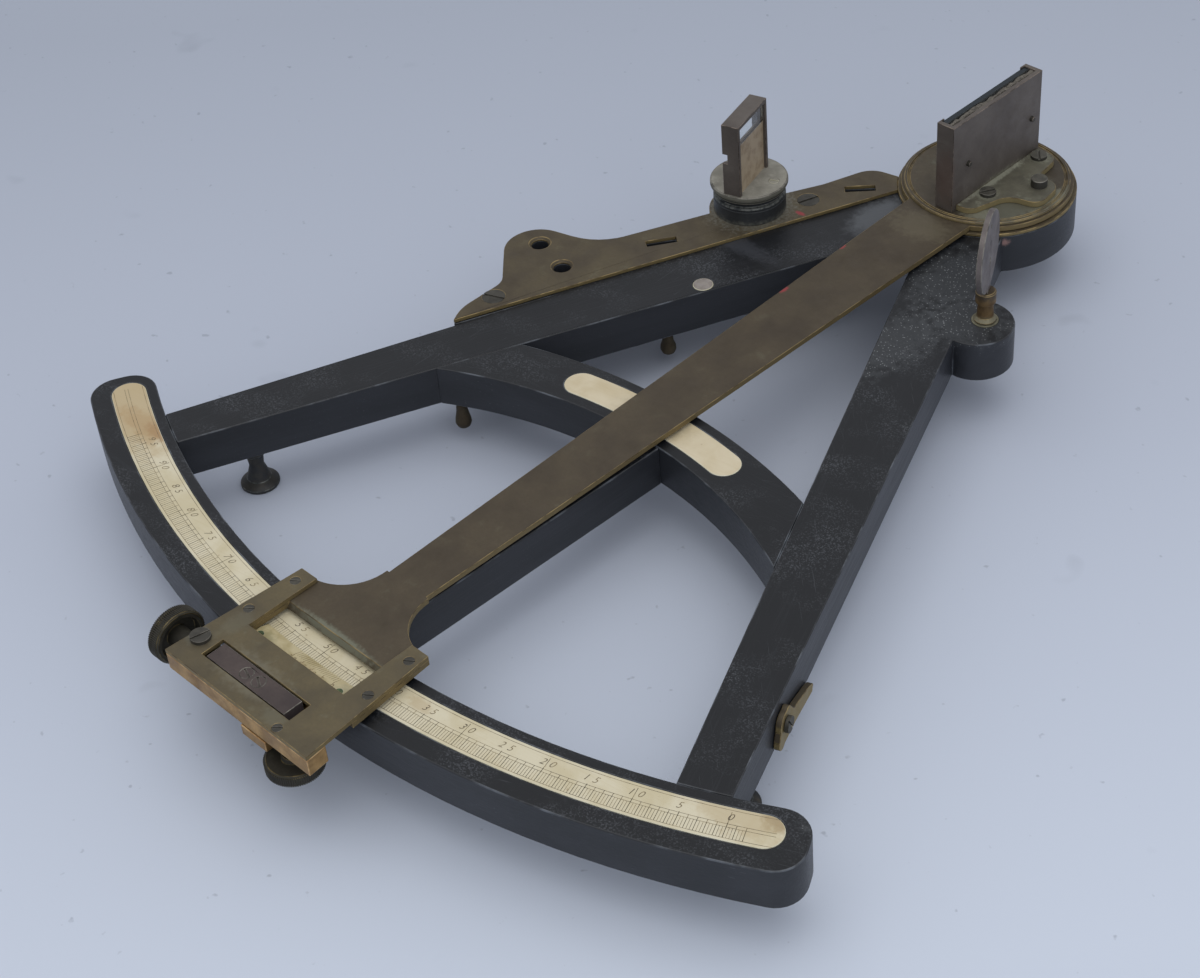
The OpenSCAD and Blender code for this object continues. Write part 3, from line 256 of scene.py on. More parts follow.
def surface(tree, shader, tone, pattern, smooth, dull, depth_mm):
    """Gives the shader its tone, and a gloss and a relief that follow one pattern."""
    gloss = add_node(tree, "MapRange", {"Value": pattern, "From Min": 0.35, "From Max": 0.75,
                                        "To Min": smooth, "To Max": dull})
    relief = add_node(tree, "Bump", {"Height": pattern, "Distance": depth_mm * MM})
    tree.links.new(tone, shader.inputs["Base Color"])
    tree.links.new(gloss.outputs["Result"], shader.inputs["Roughness"])
    tree.links.new(relief.outputs["Normal"], shader.inputs["Normal"])


print("pattern helpers:", [f.__name__ for f in (new_finish, grain, lay_over, stain, facing_up, surface)])

# %% [markdown]
# ### Ebony
# Ebony is a nearly black hardwood. It was planed, scraped and polished with oil, so it has a
# dull satin gloss. Along the grain run fine open pores. Long years left grey dust on the upper
# faces, fine scratches, and rubbed edges. The tops are painted darker as painted shade, and a
# thin light line on the edges is painted highlight.

# %% Ebony and its rubbed edge
# How far up a face looks, for the painted shade of the tops and for their dust: where it starts to count
# as a top, and where it fully does
TOP_FROM, TOP_FULL = 0.6, 0.95
FLECK_MM, DUST_RAGGED = 0.85, 0.8


def ebony(name, grain_deg, spots=(), dustings=()):
    """Oiled ebony, its grain at an angle from X. A spot is (centre, reach, tone) in mm, and a
    dusting is (centre, reach)."""
    material, tree, shader, place = new_finish(name)
    pores = grain(tree, place, (22, 0.7, 0.7), grain_deg, detail=5.0, rough=0.65)
    figure = grain(tree, place, (60, 9, 9), grain_deg, detail=3.0, distort=0.4)
    upward = facing_up(tree)
    tone = lay_over(tree, "#25272b", "#2d2f34", figure, 0.3, 0.7)
    # Painted shade: faces that look up are darkened towards near black, for how light falls on the tops.
    tone = lay_over(tree, tone, "#0b0d11", upward, TOP_FROM, TOP_FULL, 0.85)
    tone = lay_over(tree, tone, "#303338", pores, 0.52, 0.78, 0.35)
    on_top = add_node(tree, "MapRange", {"Value": upward, "From Min": TOP_FROM,
                                         "From Max": TOP_FULL, "To Max": 0.3})
    clouds = grain(tree, place, (17, 12, 12), 30, detail=5.0)
    in_clouds = add_node(tree, "MapRange", {"Value": clouds, "From Min": 0.45, "From Max": 0.72,
                                            "To Max": on_top.outputs["Result"]})
    specks = grain(tree, place, (0.4, 0.4, 0.4), detail=2.0)
    tone = lay_over(tree, tone, "#82868d", specks, 0.5, 0.66, in_clouds.outputs["Result"])
    scratches = grain(tree, place, (11, 0.16, 0.4), grain_deg + 24, detail=1.0)
    tone = lay_over(tree, tone, "#74787f", scratches, 0.72, 0.78, 0.22)
    cells = add_node(tree, "TexVoronoi", {"Vector": place, "Scale": 1 / (FLECK_MM * MM)})
    flecks = add_node(tree, "MapRange", {"Value": cells.outputs["Distance"], "From Min": 0.25,
                                         "From Max": 0.1, "To Max": 0.6})
    for centre, reach in dustings:
        tone = stain(tree, place, tone, "#45484b", centre, reach, 0.45, DUST_RAGGED)
        tone = stain(tree, place, tone, "#a5a8aa", centre, reach, flecks.outputs["Result"], DUST_RAGGED)
    for centre, reach, chip in spots:
        tone = stain(tree, place, tone, chip, centre, reach)
    surface(tree, shader, tone, pores, 0.38, 0.5, 0.05)
    shader.inputs["Specular IOR Level"].default_value = 0.38
    return material


def rubbed_ebony():
    """The edge of the wood, in patches of a paler tone: painted highlight where light catches the eased
    edges.
    """
    material, tree, shader, place = new_finish("ebony_edge_painted_highlight")
    wear = grain(tree, place, (9, 9, 9), detail=6.0)
    # Painted highlight: the paler patches stand in for thin light lines along the edges.
    tone = lay_over(tree, "#1f2125", "#585d64", wear, 0.45, 0.68)
    surface(tree, shader, tone, wear, 0.36, 0.46, 0.02)
    return material


wood_edge = rubbed_ebony()
print("edge of the wood:", wood_edge.name)

# %% Ebony of each bar
LIMB_DEG = 23.2
ARC_DUST = [((124, -214, 27), (9, 10, 4))]
LEFT_SPOTS = [((-46, -68, 27), (30, 5, 3), "#33353a"), ((-15, -32, 27), (8, 14, 4), "#4d5054")]
RIGHT_DUST = [((21, -42, 27), (16, 22, 5)), ((36, -56, 27), (15, 15, 5)), ((27, -75, 27), (12, 24, 5))]
APEX_CHIP = [((20.4, -17.7, 25), (2.2, 2.2, 1.7), "#8a6d67")]
APEX_DUST = [((14, -22, 27), (9, 7, 4))]

arc_wood = ebony("oiled_ebony_arc", 0, dustings=ARC_DUST)
left_wood = ebony("oiled_ebony_left_limb", 90 - LIMB_DEG, LEFT_SPOTS)
right_wood = ebony("oiled_ebony_right_limb", 90 + LIMB_DEG, dustings=RIGHT_DUST)
apex_wood = ebony("oiled_ebony_apex", 65, APEX_CHIP, APEX_DUST)
brace_wood = ebony("oiled_ebony_brace", 5)
strut_wood = ebony("oiled_ebony_strut", 90)
print("ebony finishes:", [m.name for m in bpy.data.materials if "ebony" in m.name])

# %% [markdown]
# ### Ivory
# The scale and the note plate were sawn from ivory, scraped flat and polished. Fresh ivory is
# cream; here it has yellowed, it is browner at the left end, and it carries small brown spots
# and faint fibre lines. The vernier is older looking, and its oil stains are deeper.

# %% Ivory
def ivory(name, fresh, yellowed, stains=(), blotch_mm=14):
    """Polished ivory. A stain is (centre, reach, tone, depth), its places and reaches in mm."""
    material, tree, shader, place = new_finish(name)
    clouds = grain(tree, place, [blotch_mm] * 3, detail=4.0, distort=0.5)
    tone = lay_over(tree, fresh, yellowed, clouds, 0.35, 0.68)
    fibres = grain(tree, place, (30, 0.6, 0.6), 8, detail=3.0)
    tone = lay_over(tree, tone, "#b7a578", fibres, 0.5, 0.8, 0.22)
    dots = grain(tree, place, (1.7, 1.7, 1.7), detail=4.0)
    tone = lay_over(tree, tone, "#8f7040", dots, 0.68, 0.78, 0.5)
    for centre, reach, brown, depth in stains:
        tone = stain(tree, place, tone, brown, centre, reach, depth, 0.5)
    surface(tree, shader, tone, clouds, 0.34, 0.46, 0.05)
    shader.inputs["IOR"].default_value = 1.54
    return material


SCALE_STAINS = [((-113, -226, 27), (34, 26, 8), "#b8a177", 0.75),
                ((-98, -229.5, 27), (7, 3, 4), "#94663c", 0.5),
                ((-103, -230, 27), (16, 5, 4), "#a98554", 0.45),
                ((115, -221.5, 27), (6, 5, 4), "#8a6c42", 0.6),
                ((106, -226, 27), (16, 8, 4), "#b7a278", 0.5),
                ((30, -250, 27), (5, 2.5, 3), "#a98c5c", 0.35)]
NOTE_STAINS = [((0, -141, 27), (16, 7, 4), "#9f8f6a", 0.35)]
VERNIER_STAINS = [((-14, -261, 28.2), (5, 4, 3), "#77734c", 0.5),
                  ((2, -262, 28.2), (9, 3, 3), "#a48a62", 0.45),
                  ((15, -260, 28.2), (4, 4, 3), "#8f8b6e", 0.5)]

scale_ivory = ivory("polished_ivory_scale", "#d8cfb4", "#cabe9c", SCALE_STAINS)
note_ivory = ivory("polished_ivory_note", "#d5c8ab", "#c7b794", NOTE_STAINS)
vernier_bone = ivory("oil_stained_ivory_vernier", "#c3b68f", "#ab9c70", VERNIER_STAINS, blotch_mm=5)
# Painted highlight: the bevels of the ivory pieces, and of the stage screw, take a paler tone that stands
# in for light catching their edges.
painted_highlight_ivory_edge = ivory("ivory_edge_painted_highlight", "#d9d6c2", "#c6bf9f")
print("ivory finishes:", [m.name for m in bpy.data.materials if "ivory" in m.name])

# %% [markdown]
# ### Brass and gunmetal
# The arm, plates and mirror frames were sawn from sheet brass or cast, filed and lacquered.
# The lacquer wore through and the metal browned. A browned film is no longer a clean mirror,
# so it is made as a metal of middling roughness with cloudy tones, fine scratches and a pale
# grey-green deposit where polish dried. Where edges are rubbed, the bright metal shows.

# %% Aged metal and its rubbed edge
def aged_metal(name, shade, light, deposit="#8d8c7a", crust=0.3, metal=0.55, polish=0.48,
               brush_deg=0.0, cloud_mm=11, side=None, spots=()):
    """Browned metal: clouds of two tones, scratches, dried polish, stains, and walls in a side tone,
    lighter or darker than the tops as painted light and shade.
    """
    material, tree, shader, place = new_finish(name)
    clouds = grain(tree, place, [cloud_mm] * 3, detail=7.0, rough=0.55, distort=0.2)
    tone = lay_over(tree, shade, light, clouds, 0.25, 0.75)
    pits = grain(tree, place, (0.8, 0.8, 0.8), detail=4.0)
    tone = lay_over(tree, tone, shade, pits, 0.42, 0.7, 0.28)
    brushed = grain(tree, place, (18, 0.18, 0.3), brush_deg, detail=2.0)
    tone = lay_over(tree, tone, light, brushed, 0.62, 0.75, 0.3)
    crusts = grain(tree, place, (4.5, 4.5, 4.5), 20, detail=6.0, rough=0.7)
    in_clouds = add_node(tree, "MapRange", {"Value": clouds, "From Min": 0.4, "From Max": 0.62,
                                            "To Max": crust})
    tone = lay_over(tree, tone, deposit, crusts, 0.52, 0.7, in_clouds.outputs["Result"])
    # Painted light and shade: faces that look sideways take the side tone, so walls are lit or shaded
    # apart from the tops.
    if side:
        level = add_node(tree, "Math", {0: facing_up(tree)}, operation="ABSOLUTE").outputs[0]
        tone = lay_over(tree, tone, side, level, 0.5, 0.25, 0.85)
    for centre, reach, other, depth in spots:
        tone = stain(tree, place, tone, other, centre, reach, depth, 0.45)
    surface(tree, shader, tone, crusts, polish, min(0.85, polish + 0.25), 0.03)
    shader.inputs["Metallic"].default_value = metal
    return material


def rubbed_metal(name, bright, under, wear_mm=3.0, polish=0.32, metal=0.9):
    """The edge of a browned piece, where wear lets the bright metal through in places."""
    material, tree, shader, place = new_finish(name)
    wear = grain(tree, place, [wear_mm] * 3, detail=5.0, rough=0.65)
    tone = lay_over(tree, under, bright, wear, 0.38, 0.62)
    surface(tree, shader, tone, wear, polish + 0.1, polish, 0.01)
    shader.inputs["Metallic"].default_value = metal
    return material


brass_edge = rubbed_metal("rubbed_brass_edge", "#9c8961", "#5c5140", wear_mm=6.0, polish=0.4)
gunmetal_edge = rubbed_metal("rubbed_gunmetal_edge", "#93867a", "#564e48")
pale_rim = rubbed_metal("pale_rubbed_rim", "#87837a", "#57544d", metal=0.5, polish=0.5)
print("edges of browned metal:", [m.name for m in (brass_edge, gunmetal_edge, pale_rim)])

# %% Sheet brass of the arm, the plates and the mirror table
RED_PAINT = "#a8434b"


def middle_mm(node):
    """The middle of a node's box seen from above, in mm."""
    low, high = (Vector(corner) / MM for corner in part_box(node))
    return ((low + high) / 2).xy


HORIZON_AT = middle_mm("horizon_collar")
ARM_STAINS = [((0, -31, 30), (14, 8, 3), "#726a57", 0.5),
              ((0, -250, 29.6), (20, 2.4, 2.6), "#7d7e6d", 0.85),
              ((-9.6, -79, 30), (1.1, 2.4, 1.2), RED_PAINT, 0.8),
              ((-10.4, -53.1, 30), (1, 1.8, 1.2), RED_PAINT, 0.7)]
PLATE_STAINS_AND_PAINTED_LIGHT = [((-4, -272, 31), (16, 6.6, 3), "#7f7a69", 0.6),
                ((-24, -272, 31), (5, 4, 3), "#77766a", 0.5),
                ((11, -277, 31), (5, 3, 3), "#73705f", 0.5),
                # Painted light: a pale patch at the right end of the clamp's slot lifts the shade on its
                # walls.
                ((8.5, -272, 30), (2.6, 4, 3), "#a39f8e", 0.8),
                ((-20, -263, 31), (4, 6, 3), "#74705f", 0.4)]
TABLE_STAINS = [((14, -6, 31), (12, 19, 3), "#7f8071", 0.6),
                ((9, -17, 31), (8, 5, 3), "#9a9a89", 0.6),
                ((22, 2, 31), (3, 12, 3), "#93937f", 0.5)]
BRACKET_STAINS = [((4.6, -3, 32), (1.5, 19, 3), "#a0a08f", 0.8),
                  ((7.4, -9.4, 32.5), (4, 4, 2), "#9fa08e", 0.6),
                  ((7.2, 15.2, 32.5), (4, 4, 2), "#9fa08e", 0.6)]
LEAF_STAINS = [((*HORIZON_AT, 28), (16, 16, 2), "#8d8c82", 0.75),
               ((-32.4, -46, 28), (2.4, 1, 1.2), RED_PAINT, 0.8)]

arm_brass = aged_metal("browned_sheet_brass_arm", "#4c4337", "#5a5040", brush_deg=90, crust=0.15,
                       side="#83734f", spots=ARM_STAINS)
plate_brass = aged_metal("browned_sheet_brass_plate", "#5a5242", "#6e634a", side="#83734f",
                         spots=PLATE_STAINS_AND_PAINTED_LIGHT)
table_brass = aged_metal("browned_turned_brass_table", "#453e34", "#5c5344", deposit="#7b7d70",
                         brush_deg=40, crust=0.4, side="#8c7d58", spots=TABLE_STAINS)
bracket_brass = aged_metal("crusted_cast_brass_bracket", "#59564b", "#706d5d", deposit="#9b9c8a",
                           crust=0.8, metal=0.4, polish=0.55, cloud_mm=5, side="#8d7f58",
                           spots=BRACKET_STAINS)
leaf_brass = aged_metal("browned_sheet_brass_leaf", "#50473a", "#635944", brush_deg=66, crust=0.22,
                        side="#8a7a52", spots=LEAF_STAINS)
print("sheet brass:", [m.name for m in bpy.data.materials if "_brass_" in m.name])

# %% Metal of the bar, the knobs, the blocks and the screws
bar_brass = aged_metal("copper_gold_brass_bar", "#80633f", "#c09c66", deposit="#5a4630", metal=0.7,
                       polish=0.38, cloud_mm=6)
bar_edge = rubbed_metal("bright_copper_gold_edge", "#dcb987", "#a98256", polish=0.3)
knob_dark = aged_metal("dark_turned_brass_knob", "#2c2a25", "#423f36", deposit="#62604f", metal=0.5)
knob_edge = rubbed_metal("rubbed_knob_edge", "#746748", "#3c382e")
block_metal = aged_metal("browned_steel_block", "#463d3c", "#5b504c", deposit="#7b6f68", crust=0.4,
                         metal=0.5)
screw_metal = aged_metal("browned_screw_metal", "#3f3d38", "#524f48", deposit="#777466", cloud_mm=3)
head_metal = aged_metal("greyed_screw_head", "#4d4b45", "#6a675d", deposit="#8d8c7e", crust=0.5,
                        cloud_mm=2.5, side="#3c3a35")
bright_steel = rubbed_metal("turned_steel_shaft", "#a8a294", "#857e70", polish=0.3)
verdigris = aged_metal("verdigris_brass_pin", "#3f4a33", "#5f6f4f", crust=0.5, metal=0.4, polish=0.6,
                       cloud_mm=1.5)
print("screws:", screw_metal.name, head_metal.name, verdigris.name)

# %% Metal of the mirrors, the sight and the feet
MIRROR_STAINS = [((1, -22, 42), (6, 2.2, 12), "#6f5a50", 0.45), ((4, 0, 31), (1.6, 22, 3), "#8f8f80", 0.7)]
COLLAR_STAINS = [((*HORIZON_AT, 28.1), (15, 15, 2.6), "#75756c", 0.7)]
# Painted shade: the two grooves of the stage are darkened, where shade falls in them
STAGE_GROOVE_PAINTED_SHADE = [((*HORIZON_AT, 36.1), (30, 30, 0.35), "#2f2f2b", 0.9),
                ((*HORIZON_AT, 36.9), (30, 30, 0.35), "#33332e", 0.9)]
# Painted shade: two dark spots on the sight stand for the shade in its two pinholes
PINHOLE_PAINTED_SHADE = [((40.6, -51.2, 52.5), (1.5, 1.5, 1.2), "#2f2b29", 0.9),
                  ((40.2, -51.4, 45.5), (1.5, 1.5, 1), "#54462f", 0.8)]
SIGHT_AT = middle_mm("sight_stem")
STEM_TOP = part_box("sight_stem")[1][2] / MM
STEM_STAINS = [((*SIGHT_AT, 27.5), (12, 12, 2), "#7f7c69", 0.85),
               ((*SIGHT_AT, STEM_TOP), (12, 12, 3), "#544c42", 0.8)]

gunmetal = aged_metal("browned_gunmetal", "#5c5550", "#6f6862", deposit="#8d887d", crust=0.2,
                      polish=0.46, spots=MIRROR_STAINS)
collar_black = aged_metal("blackened_brass_collar", "#26282a", "#393c3f", deposit="#6b6b64",
                          crust=0.25, metal=0.4, spots=COLLAR_STAINS)
collar_edge = rubbed_metal("rubbed_black_collar_edge", "#6f716d", "#3f4243", wear_mm=1.5, polish=0.5)
stage_metal = aged_metal("crusted_brass_stage", "#7e7b71", "#9c998e", deposit="#b9b6ab", crust=0.8,
                         metal=0.15, polish=0.65, cloud_mm=4, side="#605f54", spots=STAGE_GROOVE_PAINTED_SHADE)
sight_metal = aged_metal("grey_browned_brass_sight", "#5b5453", "#7a7370", deposit="#8f8a86",
                         crust=0.5, metal=0.5, brush_deg=90, cloud_mm=5, spots=PINHOLE_PAINTED_SHADE)
stem_gold = aged_metal("worn_gold_brass_stem", "#5f4c36", "#836b48", deposit="#7f7b68", crust=0.35,
                       metal=0.7, polish=0.42, cloud_mm=3, spots=STEM_STAINS)
socket_crust = aged_metal("crusted_brass_socket", "#6b6856", "#86826e", deposit="#a3a08e", crust=0.7,
                          metal=0.3, polish=0.6, cloud_mm=2)
foot_dark = aged_metal("blackened_turned_foot", "#303235", "#45423c", deposit="#7a6b58", crust=0.4,
                       metal=0.45, cloud_mm=3)
bronze_dark = aged_metal("dark_bronze_turned", "#3a3226", "#544936", deposit="#6b6f5c", crust=0.35,
                         metal=0.6, cloud_mm=5)
bronze_edge = rubbed_metal("rubbed_bronze_edge", "#6d5f47", "#3c342a")
print("finishes so far:", len(bpy.data.materials))

# %% [markdown]
# ### Glass, silvering, putty and ink
# The index mirror is plate glass with tin and mercury behind it, which damp has browned in
# clouds. The horizon glass is silvered only in its lower half and clear above. Dry putty holds
# the index mirror in its box. The engraved lines were filled with lamp black, which has worn.

# %% Glass, silvering, putty and ink
# Half the height over which the silvering ends at its line
LINE_SOFT = 0.1 * MM


def horizon_pane(line, silver, foxed):
    """Plate glass, clear above the line and covered by old silvering below it."""
    material, tree, shader, place = new_finish("half_silvered_plate_glass")
    height = add_node(tree, "SeparateXYZ", {0: place}).outputs["Z"]
    damp = grain(tree, place, (3, 3, 3), detail=5.0, rough=0.65)
    covered = lay_over(tree, silver, foxed, damp, 0.42, 0.7)
    below, above = line - LINE_SOFT, line + LINE_SOFT
    tone = lay_over(tree, covered, "#f6faf8", height, below, above)
    tree.links.new(tone, shader.inputs["Base Color"])
    for socket, silvered, clear in (("Transmission Weight", 0.0, 1.0), ("Roughness", 0.5, 0.01)):
        step = add_node(tree, "MapRange", {"Value": height, "From Min": below, "From Max": above,
                                           "To Min": silvered, "To Max": clear})
        tree.links.new(step.outputs["Result"], shader.inputs[socket])
    shader.inputs["IOR"].default_value = 1.5
    return material


def old_silvering(name, silver, foxed, top_edge, metal, smooth):
    """Tin and mercury behind glass, browned by damp in clouds. Its top edge has another tone."""
    material, tree, shader, place = new_finish(name)
    damp = grain(tree, place, (4, 4, 4), detail=6.0, rough=0.65)
    tone = lay_over(tree, silver, foxed, damp, 0.5, 0.72)
    tone = lay_over(tree, tone, top_edge, facing_up(tree), 0.5, 0.9)
    surface(tree, shader, tone, damp, smooth, 0.6, 0.01)
    shader.inputs["Metallic"].default_value = metal
    return material


def dry_putty():
    """Old whiting and cork that hold the index mirror in its box, dry and crumbled."""
    material, tree, shader, place = new_finish("dry_crumbled_putty")
    crumbs = grain(tree, place, (0.9, 0.9, 0.9), detail=6.0, rough=0.75)
    tone = lay_over(tree, "#2f2c27", "#67625a", crumbs, 0.3, 0.52)
    tone = lay_over(tree, tone, "#8f897b", crumbs, 0.52, 0.75)
    surface(tree, shader, tone, crumbs, 0.85, 0.95, 0.25)
    return material


def rubbed_ink(name, dark, worn_tone):
    """Lamp black rubbed into engraved lines, worn in places."""
    material, tree, shader, place = new_finish(name)
    wear = grain(tree, place, (2.5, 2.5, 2.5), detail=4.0)
    tone = lay_over(tree, dark, worn_tone, wear, 0.38, 0.62)
    surface(tree, shader, tone, wear, 0.6, 0.75, 0.005)
    return material


pane_glass = horizon_pane(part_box("horizon_backing")[1][2], "#a3937c", "#8a7963")
mirror_silver = old_silvering("old_mirror_silvering", "#969b9d", "#57544f", "#33393d", 0.8, 0.12)
pane_silver = old_silvering("browned_pane_silvering", "#a08f78", "#8b7a64", "#7c6c58", 0.3, 0.4)
putty = dry_putty()
scale_ink = rubbed_ink("rubbed_ink_scale", "#463b2f", "#8f7f60")
vernier_ink = rubbed_ink("rubbed_ink_vernier", "#5b3f2a", "#8a7a52")
plug_shell = ivory("shell_plug", "#8d857f", "#797069", blotch_mm=2.5)
print("all finishes:", len(bpy.data.materials))

# %% [markdown]
# ## Worn edges on the CAD pieces
# A CAD solid has knife-sharp edges, and nothing made by hand has them. So nearly every piece
# here is a welded copy of its CAD node with a narrow bevel. The bevel's faces take a second
# finish: the rubbed one on metal, because that is where wear shows, and on ebony and ivory a
# paler tone that is painted highlight. The copy then stands for the node.

# %% Choose an object, and settle it on its body
bodies = frame["record"]["behaviour"]["bodies"]
BODY_OF = {node: body for body, nodes in bodies.items() for node in nodes}


def choose(obj):
    """Makes one object the only selected and active one."""
    bpy.ops.object.select_all(action="DESELECT")
    obj.select_set(True)
    bpy.context.view_layer.objects.active = obj


def settle(piece, node):
    """Rides the piece on its node's body."""
    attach(piece, BODY_OF[node])


# %% Copy a node, weld it and ease its edges
# Points closer than this are welded, faces flatter than this are merged, and edges sharper
# than this get a bevel
WELD_MM, FLAT_DEG, SHARP_DEG = 0.002, 0.4, 28
EASE_STEPS = 2


def ease_edges(node, width_mm, face, edge, clamp=False):
    """A welded copy of a node whose sharp edges get a bevel of that width, and their own finish."""
    source = frame["nodes"][node]
    piece = bpy.data.objects.new(node + "_worn", source.data.copy())
    bpy.context.scene.collection.objects.link(piece)
    choose(piece)
    bpy.ops.object.mode_set(mode="EDIT")
    bpy.ops.mesh.select_all(action="SELECT")
    bpy.ops.mesh.remove_doubles(threshold=WELD_MM * MM)
    bpy.ops.mesh.dissolve_limited(angle_limit=math.radians(FLAT_DEG))
    bpy.ops.mesh.customdata_custom_splitnormals_clear()
    bpy.ops.object.mode_set(mode="OBJECT")
    piece.data.materials.clear()
    piece.data.materials.append(face)
    piece.data.materials.append(edge)
    for polygon in piece.data.polygons:
        polygon.material_index = 0
    bevel = piece.modifiers.new("eased_edges", "BEVEL")
    bevel.width = width_mm * MM
    bevel.segments = EASE_STEPS
    bevel.limit_method = "ANGLE"
    bevel.angle_limit = math.radians(SHARP_DEG)
    bevel.use_clamp_overlap = clamp
    bevel.material = 1
    bevel.harden_normals = True
    bpy.ops.object.shade_smooth_by_angle(angle=math.radians(SHARP_DEG))
    bpy.ops.object.modifier_apply(modifier=bevel.name)
    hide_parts(node)
    settle(piece, node)
    return piece


# For each node: the bevel's width in mm, the finish, the edge's finish, and whether a bevel
# stops where it meets the next one, as it must on small slotted heads
EASED = {
    "arc_limb": (0.35, arc_wood, wood_edge), "left_limb": (0.35, left_wood, wood_edge),
    "right_limb": (0.35, right_wood, wood_edge), "apex_boss": (0.3, apex_wood, wood_edge),
    "cross_brace": (0.3, brace_wood, wood_edge), "centre_strut": (0.4, strut_wood, wood_edge),
    "scale_inlay": (0.15, scale_ivory, painted_highlight_ivory_edge), "note_plate": (0.15, note_ivory, painted_highlight_ivory_edge),
    "limb_plug": (0.15, plug_shell, painted_highlight_ivory_edge), "wear_plate": (0.25, leaf_brass, brass_edge),
    "horizon_plate": (0.16, leaf_brass, brass_edge), "plate_screws": (0.07, screw_metal, pale_rim, True),
    "horizon_collar": (0.25, collar_black, collar_edge), "pivot_cap": (0.3, bronze_dark, bronze_edge),
    "feet": (0.15, foot_dark, collar_edge), "stowage_pegs": (0.1, bronze_dark, bronze_edge),
    "keeper_screw": (0.07, screw_metal, pale_rim, True), "index_arm": (0.14, arm_brass, brass_edge),
    "mirror_table": (0.12, table_brass, brass_edge), "end_plate": (0.14, plate_brass, brass_edge),
    "side_screws": (0.07, screw_metal, pale_rim, True), "outer_bar": (0.25, bar_brass, bar_edge),
    "bar_screw": (0.07, screw_metal, pale_rim, True), "vernier": (0.08, vernier_bone, painted_highlight_ivory_edge),
    "vernier_pins": (0.08, verdigris, verdigris), "tangent_bearing": (0.2, leaf_brass, brass_edge),
    "bearing_screw": (0.07, screw_metal, pale_rim, True), "mirror_box": (0.15, gunmetal, gunmetal_edge),
    "mirror_pins": (0.1, screw_metal, gunmetal_edge), "mirror_bracket": (0.16, bracket_brass, brass_edge),
    "bracket_screws": (0.1, head_metal, pale_rim, True), "adjusting_screw": (0.2, head_metal, pale_rim),
    "slide_block": (0.15, block_metal, pale_rim), "slide_screws": (0.26, block_metal, pale_rim, True),
    "clamp_body": (0.25, bar_brass, bar_edge), "clamp_leaf": (0.15, leaf_brass, brass_edge),
    "leaf_screws": (0.07, screw_metal, pale_rim, True), "horizon_stage": (0.15, stage_metal, pale_rim),
    "horizon_frame": (0.15, gunmetal, gunmetal_edge), "horizon_lever": (0.15, leaf_brass, brass_edge),
    "lever_handle": (0.1, bronze_dark, bronze_edge), "lever_nut": (0.2, leaf_brass, brass_edge),
    "stage_screw": (0.08, stage_metal, painted_highlight_ivory_edge), "sight_stem": (0.1, stem_gold, brass_edge),
    "sight_disc": (0.2, sight_metal, pale_rim), "keeper": (0.2, leaf_brass, brass_edge),
    "clamp_knob": (0.15, knob_dark, knob_edge), "tangent_knob": (0.15, knob_dark, knob_edge),
}
worn = {node: ease_edges(node, *recipe) for node, recipe in EASED.items()}
print("eased pieces:", len(worn), "with", sum(len(p.data.polygons) for p in worn.values()), "faces")

# %% Finishes for the nodes that keep their CAD shape
PLAIN = {
    "pivot_bush": stem_gold, "pivot_shaft": bright_steel, "pivot_washer": leaf_brass,
    "pivot_nut": leaf_brass, "sight_socket": socket_crust, "tangent_shaft": bright_steel,
    "horizon_shaft": bright_steel, "mirror_glass": mirror_silver, "horizon_glass": pane_glass,
    "horizon_backing": pane_silver,
}
for node, finish in PLAIN.items():
    for material_slot in frame["nodes"][node].material_slots:
        material_slot.material = finish
print("plain nodes:", len(PLAIN))

# %% [markdown]
# ## The divided scale
# The scale reads 0 at the right and 95 near the left. Each degree of the scale is half a
# degree of arc, and each is divided in three, so a tick stands for 20 minutes. One tick is
# modelled and an Array modifier turns copies of it about the pivot, as a dividing engine did.

# %% Ticks round the pivot
def copy_round(piece, step_deg, count):
    """Copies a piece round the Z axis with an Array that follows a turned empty."""
    guide = bpy.data.objects.new("turned_guide", None)
    bpy.context.scene.collection.objects.link(guide)
    guide.rotation_euler = (0, 0, math.radians(step_deg))
    bpy.context.view_layer.update()
    copies = piece.modifiers.new("copies", "ARRAY")
    copies.count = count
    copies.use_relative_offset = False
    copies.use_object_offset = True
    copies.offset_object = guide
    choose(piece)
    bpy.ops.object.modifier_apply(modifier=copies.name)
    bpy.data.objects.remove(guide)
    return piece


def radial_ticks(name, first_deg, step_deg, count, inner, outer, width, height, lean=0.0):
    """One thin radial strip at its place on the dial, copied about the pivot."""
    middle = (inner + outer) / 2
    bpy.ops.object.select_all(action="DESELECT")
    bpy.ops.mesh.primitive_plane_add(size=MM, location=(0, -middle * MM, height),
                                     rotation=(-lean, 0, 0))
    strip = bpy.context.object
    strip.name = name
    strip.scale = (width, (outer - inner) / math.cos(lean), 1)
    bpy.ops.object.transform_apply(location=True, rotation=True, scale=True)
    strip.data.transform(Matrix.Rotation(math.radians(first_deg), 4, "Z"))
    return copy_round(strip, step_deg, count)


# Radii in mm: the line inside the numerals, the two lines that the ticks start from, and the
# line that they end on
LINES = (249.9, 253.8, 254.7, 257.7)
TENS_FROM = 250.4
TICK_W = 0.09
LINE_LIFT = 0.025 * MM
